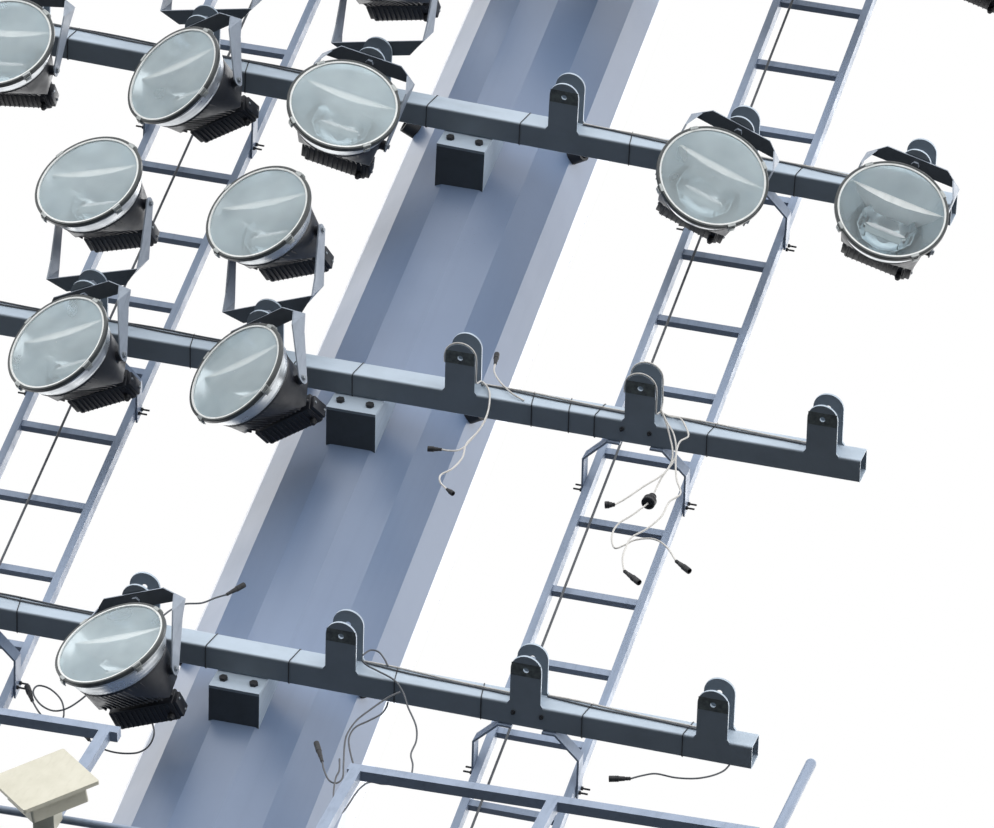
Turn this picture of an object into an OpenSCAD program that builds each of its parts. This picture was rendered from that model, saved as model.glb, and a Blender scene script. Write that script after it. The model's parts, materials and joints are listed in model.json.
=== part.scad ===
// Stadium floodlight pylon: a raked, sixteen-sided steel mast on a level base flange,
// with four crossarms of clevis brackets near its head, round floodlights on yokes that
// pan on the clevis pins and tilt on their trunnions, two ladders and a maintenance platform.
// X runs along the crossarms, -Y faces the pitch, Z is up. The origin is the centre of the
// underside of the base flange.

/* [Mast] */
// Lean of the mast towards the pitch, in degrees from plumb
lean = 15.5; // [12:0.5:18]
// Length of the mast along its own axis
mast_length = 34000; // [33000:500:36000]
// Width across flats at the foot
foot_flats = 1390; // [1300:10:1500]
// Width across flats at the head
head_flats = 744; // [700:4:800]
// Wall thickness of the folded plate
mast_wall = 10; // [8:1:16]
// Overlap of each slip joint
slip_lap = 1600; // [1300:50:2000]

/* [Base] */
// Diameter of the base flange
flange_d = 1960; // [1900:10:2100]
// Thickness of the base flange
flange_t = 50; // [40:5:60]
// Pitch circle of the anchor bolts
anchor_pcd = 1760; // [1740:10:1800]
// Number of anchor bolts
anchor_count = 16; // [12:4:24]

/* [Crossarms] */
// Length of a crossarm
arm_length = 4000; // [3900:10:4100]
// Side of the square tube
arm_side = 100; // [90:5:110]
// Wall of the square tube
arm_wall = 5; // [4:1:8]
// Distance between rows along the mast
row_pitch = 1500; // [1480:10:1560]
// Distance from the mast's head down to the top row
top_row_drop = 500; // [400:50:700]
// Distance from the mast's axis to the middle of a crossarm, square to the mast
arm_offset = 574; // [560:2:600]

/* [Clevis brackets] */
// Distance from the middle of the crossarm to its first clevis on the left
clevis_left = 412; // [400:1:420]
// Distance from the middle of the crossarm to its first clevis on the right
clevis_right = 395; // [390:1:410]
// Distance from one clevis to the next
clevis_pitch = 724; // [715:1:730]
// Width of an ear plate
ear_width = 120; // [110:2:124]
// Thickness of an ear plate
ear_t = 10; // [8:1:12]
// Distance from the crossarm's front face to the clevis pin
ear_reach = 155; // [150:1:160]

/* [Floodlights] */
// Diameter of the front rim
rim_d = 453; // [440:1:460]
// Distance from the trunnion to the front of the rim
rim_reach = 178; // [174:1:182]
// Distance between the outer faces of a yoke's arms
yoke_span = 396; // [394:1:402]
// Vertical distance from the ear plate to the trunnion
yoke_drop = 287; // [284:1:292]
// Horizontal distance from the clevis pin to the trunnion
yoke_sweep = 175; // [170:1:178]

/* [Ladders] */
// Distance from the mast's axis to the middle of the right ladder, along the crossarms
ladder_x = 1117; // [1100:1:1130]
// Overall width of the right ladder
ladder_width = 400; // [380:5:410]
// How much wider the left ladder is
ladder_extra = 48; // [0:2:60]
// Distance from one rung to the next
rung_pitch = 375; // [370:5:390]

/* [Platform] */
// Height of the top rail above the deck
rail_height = 1100; // [1000:10:1200]
// Length of the platform along the crossarms
deck_length = 4690; // [4600:10:4800]
// Depth of the platform
deck_depth = 2400; // [2350:10:2500]

/* [Hidden] */
SIDES = 16;
ROWS = [for (i = [0:3]) mast_length - top_row_drop - i * row_pitch];
// How far each crossarm is turned on its end plates, in degrees, and how far it is slid along them.
ROW_TURN = [0, 1.7, 0.1, 0.5];
ROW_SLIDE = [0, -8, 12, -10];
CLEVIS_X = [for (i = [0:5])
    i < 3 ? -clevis_left - (2 - i) * clevis_pitch : clevis_right + (i - 3) * clevis_pitch];
PIN_Y = -arm_side / 2 - ear_reach;
EAR_FACE = arm_side / 2;

// Each working floodlight: crossarm, clevis, above (1) or below (-1), pan and tilt in degrees.
LIGHTS = [
    ["2_1_low", 1, 0, -1, -7, 25],
    ["2_2_low", 1, 1, -1, -33, 26],
    ["2_2_high", 1, 1, 1, -11, 22],
    ["2_3_low", 1, 2, -1, 11, 21],
    ["2_3_high", 1, 2, 1, -11, 21],
    ["2_5_low", 1, 4, -1, 22, 26],
    ["2_6_low", 1, 5, -1, 15, 25],
    ["3_2_low", 2, 1, -1, -27, 24],
    ["3_2_high", 2, 1, 1, -17, 22],
    ["3_3_low", 2, 2, -1, -35, 23],
    ["3_3_high", 2, 2, 1, -21, 25],
    ["4_3_low", 3, 2, -1, -22, 11],
];
// The floodlights of the top crossarm, which stay where they are clamped.
TOP_LIGHTS = [
    ["1_1_low", 0, 0, -1, -26, 31],
    ["1_2_low", 0, 1, -1, -18, 29],
    ["1_3_low", 0, 2, -1, -9, 27],
    ["1_4_low", 0, 3, -1, -4, 27],
    ["1_5_low", 0, 4, -1, 9, 26],
    ["1_6_low", 0, 5, -1, 16, 24],
];

MAST_BLUE = "#7d8ba3";
STEEL_GREY = "#6c7986";
LADDER_BLUE = "#5a6a80";
HOUSING_BLACK = "#1d2029";
YOKE_GREY = "#2f333d";
CREAM = "#e9e8dc";

function flats_at(t) = foot_flats + (head_flats - foot_flats) * t / mast_length;

// Places its children at distance t along the mast's axis, square to the mast.
module on_mast(t) {
    translate([0, -sin(lean) * t, cos(lean) * t]) rotate([lean, 0, 0]) children();
}

// Places its children at the middle of a row, plumb and level.
module at_row(row) {
    t = ROWS[row];
    translate([0, -sin(lean) * t - cos(lean) * arm_offset, cos(lean) * t - sin(lean) * arm_offset]) children();
}

// Places its children at a row, turned as its crossarm is.
module on_row(row) {
    at_row(row) rotate([0, 0, ROW_TURN[row]]) children();
}

// A regular polygon with one flat facing -Y, given its width across flats.
module many_sided(flats) {
    r = flats / 2 / cos(180 / SIDES);
    polygon([for (i = [0:SIDES - 1])
        let (a = -90 + (i + 0.5) * 360 / SIDES) [r * cos(a), r * sin(a)]]);
}

// A tapered many-sided solid from flats_a to flats_b.
module many_sided_taper(flats_a, flats_b, length) {
    linear_extrude(height = length, scale = flats_b / flats_a) many_sided(flats_a);
}

// One hollow tapered section of the mast between two distances along its axis.
module mast_section(t_from, t_to, grow) {
    a = flats_at(t_from) + grow;
    b = flats_at(t_to) + grow;
    difference() {
        on_mast(t_from) many_sided_taper(a, b, t_to - t_from);
        on_mast(t_from - 1) many_sided_taper(a - 2 * mast_wall, b - 2 * mast_wall, t_to - t_from + 2);
    }
}

module mast_envelope(t_from, t_to, grow = 0) {
    on_mast(t_from) many_sided_taper(flats_at(t_from) + grow, flats_at(t_to) + grow, t_to - t_from);
}

SPLIT_1 = 11800;
SPLIT_2 = 23200;
SLIP_GROW = 2 * mast_wall + 1;
// Growth of the mast's envelope that leaves a paint-thin gap round what is fixed to it.
SEAT = 0.6;
DOOR_W = 420;
DOOR_H = 900;
// Distance up the mast, side (1 rear, -1 front) and growth of the section at each service door.
DOORS = [[1000, 1, -2 * SLIP_GROW], [26900, -1, 0]];

module door_hole(door) {
    on_mast(door[0]) translate([0, door[1] * 600, DOOR_H / 2]) cube([DOOR_W, 600, DOOR_H], center = true);
}

module mast_lower() {
    color(MAST_BLUE) difference() {
        mast_section(-300, SPLIT_1 + slip_lap, -2 * SLIP_GROW);
        translate([0, 0, flange_t / 2 - 500]) cube([4000, 4000, 1000 + flange_t], center = true);
        door_hole(DOORS[0]);
    }
}

module mast_middle() {
    color(MAST_BLUE) mast_section(SPLIT_1, SPLIT_2 + slip_lap, -SLIP_GROW);
}

module mast_upper() {
    color(MAST_BLUE) difference() {
        mast_section(SPLIT_2, mast_length, 0);
        door_hole(DOORS[1]);
    }
}

module mast_cap() {
    color(MAST_BLUE) on_mast(mast_length + SEAT / 2) {
        many_sided_taper(head_flats + 30, head_flats + 30, 12);
        translate([0, 0, 12]) many_sided_taper(head_flats + 30, head_flats - 120, 36);
    }
}

module anchor_holes() {
    for (i = [0:anchor_count - 1])
        rotate((i + 0.5) * 360 / anchor_count)
            translate([anchor_pcd / 2, 0, -1]) cylinder(r = 22, h = flange_t + 2, $fn = 48);
}

module base_flange() {
    color(MAST_BLUE) {
        difference() {
            cylinder(d = flange_d, h = flange_t, $fn = 96);
            translate([0, 0, -1]) cylinder(d = 900, h = flange_t + 2, $fn = 96);
            anchor_holes();
        }
        difference() {
            for (i = [0:anchor_count - 1])
                rotate(i * 360 / anchor_count)
                    translate([0, 10, 0]) rotate([90, 0, 0])
                        linear_extrude(20) polygon([[600, flange_t - 5], [flange_d / 2 - 30, flange_t - 5],
                            [flange_d / 2 - 30, flange_t + 60], [760, flange_t + 330], [600, flange_t + 330]]);
            mast_envelope(-300, 2000, SEAT - 2 * SLIP_GROW);
        }
    }
}

module service_doors() {
    color(MAST_BLUE) for (door = DOORS) difference() {
        on_mast(door[0]) translate([0, door[1] * (flats_at(door[0]) + door[2] - 60) / 2, DOOR_H / 2])
            cube([DOOR_W + 80, 100, DOOR_H + 80], center = true);
        mast_envelope(max(door[0] - 900, -200), door[0] + 2000, door[2] + SEAT);
    }
}

// Square tube of a crossarm, with rounded corners and open ends.
module rounded_square(side, r) {
    union() {
        square([side, side - 2 * r], center = true);
        square([side - 2 * r, side], center = true);
        for (x = [-1, 1], y = [-1, 1])
            translate([x * (side / 2 - r), y * (side / 2 - r)]) circle(r = r, $fn = 32);
    }
}

module square_tube(side, wall, length, r) {
    translate([-length / 2, 0, 0]) rotate([90, 0, 90]) linear_extrude(length) difference() {
        rounded_square(side, r);
        rounded_square(side - 2 * wall, max(r - wall, 2));
    }
}

// An ear plate with a rounded tip and a small weld flare at its root.
module ear_plate() {
    half = ear_width / 2;
    root = -arm_side / 2;
    difference() {
        union() {
            linear_extrude(ear_t) polygon([
                [-half, PIN_Y], [half, PIN_Y], [half, root - 12], [half + 9, root], [half + 9, root + 8],
                [-half - 9, root + 8], [-half - 9, root], [-half, root - 12]]);
            translate([0, PIN_Y, 0]) cylinder(d = ear_width, h = ear_t, $fn = 64);
        }
        translate([0, PIN_Y, -1]) cylinder(d = EAR_BORE, h = ear_t + 2, $fn = 32);
    }
}

EAR_BORE = 22;
PLATE_W = 200;
PLATE_H = 310;
PLATE_T = 12;

module plate_bolt_holes(y) {
    for (x = [-60, 60], z = [-100, 100])
        translate([x, y, z]) rotate([-90, 0, 0]) cylinder(d = 22, h = PLATE_T + 2, $fn = 32);
}

module crossarm(row) {
    color(STEEL_GREY) on_row(row) {
        translate([ROW_SLIDE[row], 0, 0]) {
            square_tube(arm_side, arm_wall, arm_length, 10);
            for (x = CLEVIS_X) {
                translate([x, 0, -arm_side / 2]) ear_plate();
                translate([x, 0, arm_side / 2 - ear_t]) ear_plate();
            }
        }
        difference() {
            translate([-PLATE_W / 2, arm_side / 2, -PLATE_H / 2]) cube([PLATE_W, PLATE_T, PLATE_H]);
            plate_bolt_holes(arm_side / 2 - 1);
        }
        translate([-PLATE_W / 2 + 10, arm_side / 2 - 1, -arm_side / 2 + 12]) cube([PLATE_W - 20, 2, arm_side - 24]);
    }
}

module crossarm_1() { crossarm(0); }
module crossarm_2() { crossarm(1); }
module crossarm_3() { crossarm(2); }
module crossarm_4() { crossarm(3); }

module stub_brackets() {
    y0 = arm_side / 2 + PLATE_T;
    color(STEEL_GREY) for (row = [0:3]) difference() {
        on_row(row) {
            difference() {
                translate([-PLATE_W / 2, y0, -PLATE_H / 2]) cube([PLATE_W, PLATE_T, PLATE_H]);
                plate_bolt_holes(y0 - 1);
            }
            difference() {
                translate([-PLATE_W / 2, y0 + PLATE_T, -PLATE_H / 2]) cube([PLATE_W, 320, PLATE_H]);
                translate([-PLATE_W / 2 + 10, y0 + PLATE_T, -PLATE_H / 2 + 10])
                    cube([PLATE_W - 20, 330, PLATE_H - 20]);
            }
        }
        mast_envelope(ROWS[row] - 800, ROWS[row] + 500, SEAT);
    }
}

module splice_bolts() {
    y0 = arm_side / 2;
    color("#8d9094") for (row = [0:3]) on_row(row)
        for (x = [-60, 60], z = [-100, 100]) translate([x, 0, z]) rotate([-90, 0, 0]) {
            translate([0, 0, y0 - 13]) cylinder(d = 34, h = 13, $fn = 6);
            translate([0, 0, y0]) cylinder(d = 20, h = 2 * PLATE_T + 24, $fn = 32);
            translate([0, 0, y0 + 2 * PLATE_T]) cylinder(d = 34, h = 16, $fn = 6);
        }
}

OUTLET_ANGLE = 57;
OUTLET_RISE = 235;

module cable_outlets() {
    color(HOUSING_BLACK) for (row = [0:3], side = [-1, 1]) difference() {
        on_mast(ROWS[row] + OUTLET_RISE) rotate([0, 0, side * OUTLET_ANGLE])
            translate([0, -250, 0]) rotate([90, 0, 0]) difference() {
                cylinder(d = 70, h = flats_at(ROWS[row]) / 2 + 60 - 250, $fn = 48);
                translate([0, 0, 100]) cylinder(d = 50, h = 400, $fn = 48);
            }
        mast_envelope(ROWS[row] - 400, ROWS[row] + 490, SEAT);
    }
}

STILE_W = 30;
STILE_D = 50;
LADDER_BACK = 271 - arm_offset;
LADDER_FOOT = 2240;
LOWEST_RUNG = 84 - 5 * rung_pitch;

// Overall width of the ladder on one side (-1 left, 1 right), and its middle along the crossarms.
function width_of(side) = ladder_width + (side < 0 ? ladder_extra : 0);
function middle_of(side) = side * (ladder_x + (side < 0 ? ladder_extra / 2 : 0));

// A ladder lies behind the crossarms, along the mast.
module ladder(side) {
    foot = ROWS[3] - LADDER_FOOT;
    rise = mast_length - 100 - foot;
    color(LADDER_BLUE) on_mast(foot) translate([middle_of(side), LADDER_BACK, 0]) {
        for (x = [-1, 1]) translate([x * (width_of(side) - STILE_W) / 2, 0, rise / 2])
            cube([STILE_W, STILE_D, rise], center = true);
        for (t = [LADDER_FOOT + LOWEST_RUNG : rung_pitch : rise - 60])
            translate([0, 0, t]) cube([width_of(side) - 2 * STILE_W + 2, 30, 30], center = true);
    }
}

module ladder_left() { ladder(-1); }
module ladder_right() { ladder(1); }

BRACKET_T = 8;
BRACKET_H = 60;
BRACKET_Z = -60;
// Where a bracket's foot starts and ends on the crossarm, from the ladder's middle.
FOOT_FROM = 60;
FOOT_TO = 113;
STILE_GAP = 1.3;

// Top view of a bracket: a foot on the crossarm, a leg bent outwards and a leg along the stile.
module bracket_outline(half) {
    y0 = arm_side / 2 + 0.3;
    inner = half + STILE_GAP;
    outer = inner + BRACKET_T;
    bend = BRACKET_T * tan(22.5);
    polygon([
        [FOOT_FROM, y0], [FOOT_TO, y0], [outer, y0 + outer - FOOT_TO], [outer, 340], [inner, 340],
        [inner, y0 + outer - FOOT_TO + bend], [FOOT_TO - bend, y0 + BRACKET_T], [FOOT_FROM, y0 + BRACKET_T]]);
}

// Bent flat bars that carry each ladder behind the crossarms.
module ladder_brackets() {
    color(LADDER_BLUE) for (row = [0:3], side = [-1, 1], edge = [0, 1]) {
        turn = ROW_TURN[row];
        middle = middle_of(side) * cos(turn) + 300 * sin(turn);
        difference() {
            on_row(row) translate([middle, 0, BRACKET_Z]) mirror([edge, 0, 0])
                linear_extrude(BRACKET_H) bracket_outline(width_of(side) / 2);
            on_mast(ROWS[row]) translate([middle_of(side), LADDER_BACK + 500 + STILE_D / 2 + 8, 0])
                cube([1200, 1000, 1000], center = true);
        }
    }
}

// Places along the crossarms of the two fall-arrest cables.
CABLE_X = [-1165, 1000];

module fall_arrest_cables() {
    foot = ROWS[3] - LADDER_FOOT + 200;
    color("#3a3f46") for (x = CABLE_X)
        on_mast(foot) translate([x, LADDER_BACK - 40, 0])
            cylinder(d = 10, h = mast_length - 150 - foot, $fn = 24);
}

LEAD_D = 7;

// Leads that hang free from the crossarms where lights are missing. Each has its row and the
// points that it passes, measured from the middle of the row.
LEADS_CROSSARM_3 = [
    [[472, -72, 22], [500, -70, 0], [535, -74, -70], [566, -76, -200], [574, -78, -340], [558, -80, -455],
     [574, -82, -560], [562, -84, -655], [534, -84, -712], [548, -84, -764], [585, -84, -803]],
    [[474, -60, 28], [505, -58, 5], [530, -58, -51], [556, -58, -161], [566, -58, -252], [556, -60, -397],
     [540, -64, -480], [505, -70, -510], [478, -72, -514]],
    [[664, -54, -36], [608, -60, -10], [545, -66, 45], [500, -70, 108], [486, -70, 165]],
    [[1196, -72, 22], [1230, -62, -28], [1269, -60, -113], [1314, -62, -227], [1334, -64, -323],
     [1330, -66, -454], [1336, -70, -585]],
    [[1334, -72, -645], [1304, -76, -745], [1268, -76, -835], [1272, -76, -924], [1305, -78, -1000],
     [1335, -78, -968], [1363, -78, -921], [1424, -78, -893], [1486, -78, -929], [1548, -78, -1016]],
    [[1200, -84, 14], [1240, -76, -50], [1290, -76, -130], [1330, -78, -235], [1346, -80, -320],
     [1334, -82, -440], [1290, -82, -545], [1250, -82, -650], [1222, -82, -708]],
    [[1197, -62, 33], [1235, -60, 16], [1277, -60, 14], [1316, -62, -45], [1346, -70, -120], [1336, -94, -210],
     [1352, -96, -319], [1396, -94, -469], [1440, -92, -567], [1416, -92, -641], [1417, -94, -752],
     [1389, -96, -861], [1354, -98, -936], [1352, -98, -1010], [1362, -98, -1094], [1392, -98, -1176]],
];
LEADS_CROSSARM_4 = [
    [[450, -72, 10], [480, -64, -8], [530, -60, -27], [603, -60, -66], [658, -60, -135], [708, -62, -231],
     [774, -64, -345], [806, -66, -444], [815, -68, -540], [845, -70, -614], [858, -72, -695], [826, -74, -753],
     [778, -76, -776], [733, -78, -780], [714, -82, -827], [708, -86, -890], [704, -88, -1000], [692, -90, -1038],
     [673, -92, -1018], [637, -94, -925], [612, -94, -820], [608, -94, -765], [586, -94, -692]],
    [[573, 58, -46], [580, 52, -90], [578, 44, -154], [549, 42, -213], [515, 42, -273], [515, 42, -347],
     [542, 42, -424], [586, 42, -519], [610, 42, -596]],
    [[652, -70, -152], [617, -66, -200], [581, -66, -297], [555, -66, -381], [549, -66, -469], [560, -66, -545],
     [598, -66, -680], [622, -66, -765], [612, -66, -808], [580, -66, -799], [543, -66, -742], [519, -66, -690]],
    [[449, -84, 26], [462, -76, 80], [490, -68, 92], [520, -62, 66], [548, -54, 30]],
    [[-352, -90, 30], [-338, -80, 110], [-309, -70, 178], [-251, -66, 212], [-213, -66, 263], [-180, -66, 298]],
    [[1903, 70, -40], [1896, 60, -100], [1866, 50, -160], [1815, 44, -205], [1745, 42, -225], [1670, 42, -222],
     [1625, 42, -250], [1590, 42, -283]],
    [[-375, 52, -30], [-372, 120, -50], [-362, 200, -80], [-350, 250, -120], [-318, 256, -175], [-290, 256, -240],
     [-281, 254, -320], [-300, 252, -380], [-345, 250, -408], [-400, 250, -413], [-455, 250, -398],
     [-505, 250, -365]],
    [[-560, 47, -30], [-572, 150, -30], [-598, 225, -45], [-622, 250, -90], [-655, 250, -180], [-700, 250, -215],
     [-760, 250, -190], [-815, 252, -120], [-818, 256, -60], [-770, 264, -55], [-705, 270, -110],
     [-665, 276, -200], [-672, 280, -250], [-715, 282, -245], [-770, 282, -190], [-815, 282, -130]],
];
// Plugs at the leads' ends: row, diameter, and the points where each starts and ends.
PLUGS = [
    [2, 20, [585, -84, -803], [618, -84, -828]],
    [2, 22, [478, -72, -514], [424, -72, -526]],
    [2, 22, [486, -70, 165], [470, -70, 243]],
    [2, 54, [1336, -70, -585], [1334, -72, -645]],
    [2, 24, [1548, -78, -1016], [1616, -78, -1071]],
    [2, 28, [1222, -82, -708], [1186, -82, -722]],
    [2, 24, [1392, -98, -1176], [1468, -98, -1238]],
    [3, 22, [519, -66, -690], [459, -66, -575]],
    [3, 22, [-180, -66, 298], [-138, -66, 386]],
    [3, 24, [1590, 42, -283], [1513, 42, -310]],
    [3, 24, [-505, 250, -365], [-566, 250, -294]],
    [3, 24, [-815, 282, -130], [-868, 282, -40]],
];
STEPS = 3;
TUBE_SIDES = 6;

// A point of the smooth curve through p, where u runs from 0 at point i to 1 at the next.
function curve_point(p, i, u) =
    let (n = len(p) - 1, a = p[max(i - 1, 0)], b = p[i], c = p[i + 1], d = p[min(i + 2, n)])
    b + u * (c - a) / 2 + u * u * (a - 2.5 * b + 2 * c - d / 2) + u * u * u * (1.5 * (b - c) + (d - a) / 2);
function curve(p) = concat(
    [for (i = [0:len(p) - 2], k = [0:STEPS - 1]) curve_point(p, i, k / STEPS)], [p[len(p) - 1]]);
function unit(v) = v / norm(v);

// A round tube along the smooth curve through the points of a route.
module tube_along(route, d) {
    path = curve(route);
    last = len(path) - 1;
    rings = [for (i = [0:last])
        let (ahead = unit(path[min(i + 1, last)] - path[max(i - 1, 0)]),
             out = unit(cross(ahead, [0.13, 1, 0.09])), over = cross(ahead, out))
        [for (k = [0:TUBE_SIDES - 1]) let (a = k * 360 / TUBE_SIDES)
            path[i] + d / 2 * (cos(a) * out + sin(a) * over)]];
    polyhedron(
        points = [for (ring = rings) each ring],
        faces = concat(
            [[for (k = [0:TUBE_SIDES - 1]) k]],
            [for (i = [0:last - 1], k = [0:TUBE_SIDES - 1])
                let (a = i * TUBE_SIDES, next = (k + 1) % TUBE_SIDES)
                each [[a + k, a + TUBE_SIDES + k, a + TUBE_SIDES + next], [a + k, a + TUBE_SIDES + next, a + next]]],
            [[for (k = [TUBE_SIDES - 1:-1:0]) last * TUBE_SIDES + k]]));
}

module leads_crossarm_3() {
    color("#b9bcc0") at_row(2) for (route = LEADS_CROSSARM_3) tube_along(route, LEAD_D);
}

module leads_crossarm_4() {
    color("#5d6065") at_row(3) for (route = LEADS_CROSSARM_4) tube_along(route, LEAD_D);
}

// Plugs, each a turned body with a grip ring, set along the end of its lead.
module lead_plugs() {
    color("#1c1e22") for (plug = PLUGS) at_row(plug[0]) {
        way = plug[3] - plug[2];
        length = norm(way);
        translate(plug[2]) rotate([0, acos(way[2] / length), atan2(way[1], way[0])])
            rotate_extrude($fn = 32) polygon([
                [0, 0.3], [plug[1] * 0.36, 0.3], [plug[1] * 0.42, length * 0.5], [plug[1] / 2, length * 0.55],
                [plug[1] / 2, length], [0, length]]);
    }
}

DECK_Z = -2250;
DECK_FRONT = -400;
DECK_T = 40;
FRAME_H = 120;

DECK_TURN = -1.5;

// Places its children at the platform: the middle of its front edge, at the deck's top.
module on_deck() {
    at_row(3) translate([0, DECK_FRONT, DECK_Z]) rotate([0, 0, DECK_TURN]) children();
}

module platform_frame() {
    color(STEEL_GREY) difference() {
        on_deck() translate([0, 0, -DECK_T - FRAME_H]) {
            difference() {
                translate([-deck_length / 2, 0, 0]) cube([deck_length, deck_depth, FRAME_H]);
                translate([-deck_length / 2 + 60, 60, -1]) cube([deck_length - 120, deck_depth - 120, FRAME_H + 2]);
            }
            for (x = [-1800, -560, 560, 1800]) translate([x - 30, 60, 0]) cube([60, deck_depth - 120, FRAME_H]);
            for (y = [1120, deck_depth - 340]) translate([-deck_length / 2 + 60, y - 30, 0])
                cube([deck_length - 120, 60, FRAME_H]);
            for (x = [-560, 560]) translate([x - 25, 0, 0]) rotate([90, 0, 90]) linear_extrude(50)
                polygon([[100, 0], [240, 0], [1900, -1020], [1900, -1120]]);
        }
        mast_envelope(ROWS[3] - 5500, ROWS[3]);
    }
}

module platform_deck() {
    color("#8a939c") difference() {
        on_deck() translate([-deck_length / 2, 0, -DECK_T]) cube([deck_length, deck_depth, DECK_T]);
        mast_envelope(ROWS[3] - 5500, ROWS[3], 60);
        for (side = [-1, 1]) on_mast(ROWS[3] - LADDER_FOOT - 400)
            translate([middle_of(side), LADDER_BACK, 500])
                cube([width_of(side) + 20, STILE_D + 30, 1000], center = true);
    }
}

RAIL = 42;

// One straight top rail along X, from x0 to x1 at depth y, with its posts.
module top_rail(x0, x1, y, posts) {
    translate([x0, y - RAIL / 2, rail_height - RAIL]) cube([x1 - x0, RAIL, RAIL]);
    for (x = posts) translate([x - RAIL / 2, y - RAIL / 2, 0]) cube([RAIL, RAIL, rail_height - RAIL + 1]);
}

// A round rail along X.
module knee_rail(x0, x1, y) {
    translate([x0, y, KNEE_RAIL_Z]) rotate([0, 90, 0]) cylinder(d = KNEE_RAIL_D, h = x1 - x0, $fn = 32);
}

KNEE_RAIL_D = 30;
KNEE_RAIL_Z = 490;
RAIL_HALF = deck_length / 2 - 60;
RAIL_Y = 40;
GAP_LEFT = -108;
GAP_RIGHT = 770;

// The knee rail runs on where the top rail leaves a gap in front of the mast.
module railing_front() {
    color(LADDER_BLUE) on_deck() {
        top_rail(-RAIL_HALF - RAIL / 2, GAP_LEFT, RAIL_Y, [-RAIL_HALF, -RAIL_HALF / 2 - 60, GAP_LEFT - 50]);
        top_rail(GAP_RIGHT, RAIL_HALF + RAIL / 2, RAIL_Y, [GAP_RIGHT + 30, RAIL_HALF / 2 + 400, RAIL_HALF]);
        knee_rail(-RAIL_HALF, RAIL_HALF, RAIL_Y);
    }
}

module railing_rear() {
    rear = deck_depth - RAIL_Y;
    color(LADDER_BLUE) on_deck() {
        top_rail(-RAIL_HALF - RAIL / 2, RAIL_HALF + RAIL / 2, rear,
            [-RAIL_HALF, -RAIL_HALF / 2, RAIL_HALF / 2, RAIL_HALF]);
        knee_rail(-RAIL_HALF, RAIL_HALF, rear);
        for (side = [-1, 1]) translate([side * RAIL_HALF, 0, 0]) {
            translate([-RAIL / 2, RAIL_Y + RAIL / 2 + 0.3, rail_height - RAIL])
                cube([RAIL, rear - RAIL_Y - RAIL / 2, RAIL]);
            translate([0, RAIL_Y + RAIL / 2 + 0.3, KNEE_RAIL_Z]) rotate([-90, 0, 0])
                cylinder(d = KNEE_RAIL_D, h = rear - RAIL_Y - RAIL / 2, $fn = 32);
            translate([-RAIL / 2, deck_depth / 2, 0]) cube([RAIL, RAIL, rail_height - 1]);
        }
    }
}

POLE_D = 40;
POLE_TOP = 1585;

module aerial_pole() {
    color(STEEL_GREY) on_deck() translate([deck_length / 2 + POLE_D / 2, RAIL_Y, -DECK_T - FRAME_H]) {
        cylinder(d = POLE_D, h = POLE_TOP + DECK_T + FRAME_H, $fn = 48);
        translate([0, 0, POLE_TOP + DECK_T + FRAME_H]) sphere(d = POLE_D, $fn = 48);
    }
}

AERIAL_X = -140;
AERIAL_Z = 432;
AERIAL_TURN = -8.5;

// A plate standing on one corner, with rounded corners, its face square to Y.
module corner_plate(side, r, y0, y1) {
    translate([0, y1, 0]) rotate([90, 45, 0]) linear_extrude(y1 - y0) rounded_square(side, r);
}

// Flat panel, its rear box, and the arm to the post behind it.
module panel_aerial() {
    color(CREAM) on_deck() translate([AERIAL_X, 0, AERIAL_Z]) {
        rotate([0, 0, AERIAL_TURN]) {
            corner_plate(301, 8, -162, -148);
            corner_plate(225, 10, -149, -75);
        }
        translate([-50, -85, -60]) cube([80, 103, 90]);
    }
}

YOKE_T = 6;
ARM_W = 50;
PIN_D = 20;
// Thickness of the washer between the ear and the yoke, and the running gap on either side of an ear.
WASHER_T = 5.7;
EAR_GAP = 0.3;
BASE_TOP = -EAR_GAP - WASHER_T;

// Outer face of the upper half of a yoke's arm, from the diagonal fold at the base to the second fold.
function upper_arm(half) = [
    [half - 35, 1.5, BASE_TOP - 1], [half, 33, BASE_TOP - 1],
    [half, 75, BASE_TOP - 88], [half, 11, BASE_TOP - 122]];

module arm_upper_half() {
    outer = upper_arm(yoke_span / 2);
    inner = [for (p = outer) p - [YOKE_T, 0, 0]];
    polyhedron(points = concat(outer, inner), faces = [
        [0, 1, 3], [1, 2, 3], [5, 4, 7], [5, 7, 6],
        [0, 4, 5], [0, 5, 1], [1, 5, 6], [1, 6, 2], [2, 6, 7], [2, 7, 3], [3, 7, 4], [3, 4, 0]]);
}

module arm_lower_half() {
    fold = upper_arm(yoke_span / 2);
    translate([yoke_span / 2 - YOKE_T, 0, 0]) rotate([90, 0, 90]) linear_extrude(YOKE_T) difference() {
        union() {
            polygon([
                [fold[3][1], fold[3][2] + 2], [fold[2][1], fold[2][2] + 2], [fold[2][1] + 2, fold[2][2]],
                [yoke_sweep + 21, -yoke_drop + 14], [yoke_sweep - 21, -yoke_drop - 14], [fold[3][1] + 1, fold[3][2] - 2]]);
            translate([yoke_sweep, -yoke_drop]) circle(d = ARM_W, $fn = 48);
        }
        translate([yoke_sweep, -yoke_drop]) circle(d = TRUNNION_D + 0.2, $fn = 32);
    }
}

TRUNNION_D = 12;

// Bolt of a clevis pin, from its head below the yoke through the ear to its nut above.
module clevis_bolt() {
    over = ear_t + EAR_GAP;
    translate([0, 0, BASE_TOP - YOKE_T - 12]) cylinder(d = 34, h = 12.5, $fn = 6);
    translate([0, 0, BASE_TOP - YOKE_T - 1]) cylinder(d = PIN_D, h = over + 20 + YOKE_T + 1 - BASE_TOP, $fn = 32);
    translate([0, 0, over]) cylinder(d = 34, h = 14, $fn = 6);
    translate([0, 0, BASE_TOP - 0.5]) cylinder(d = 44, h = WASHER_T + 0.5, $fn = 48);
}

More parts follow.
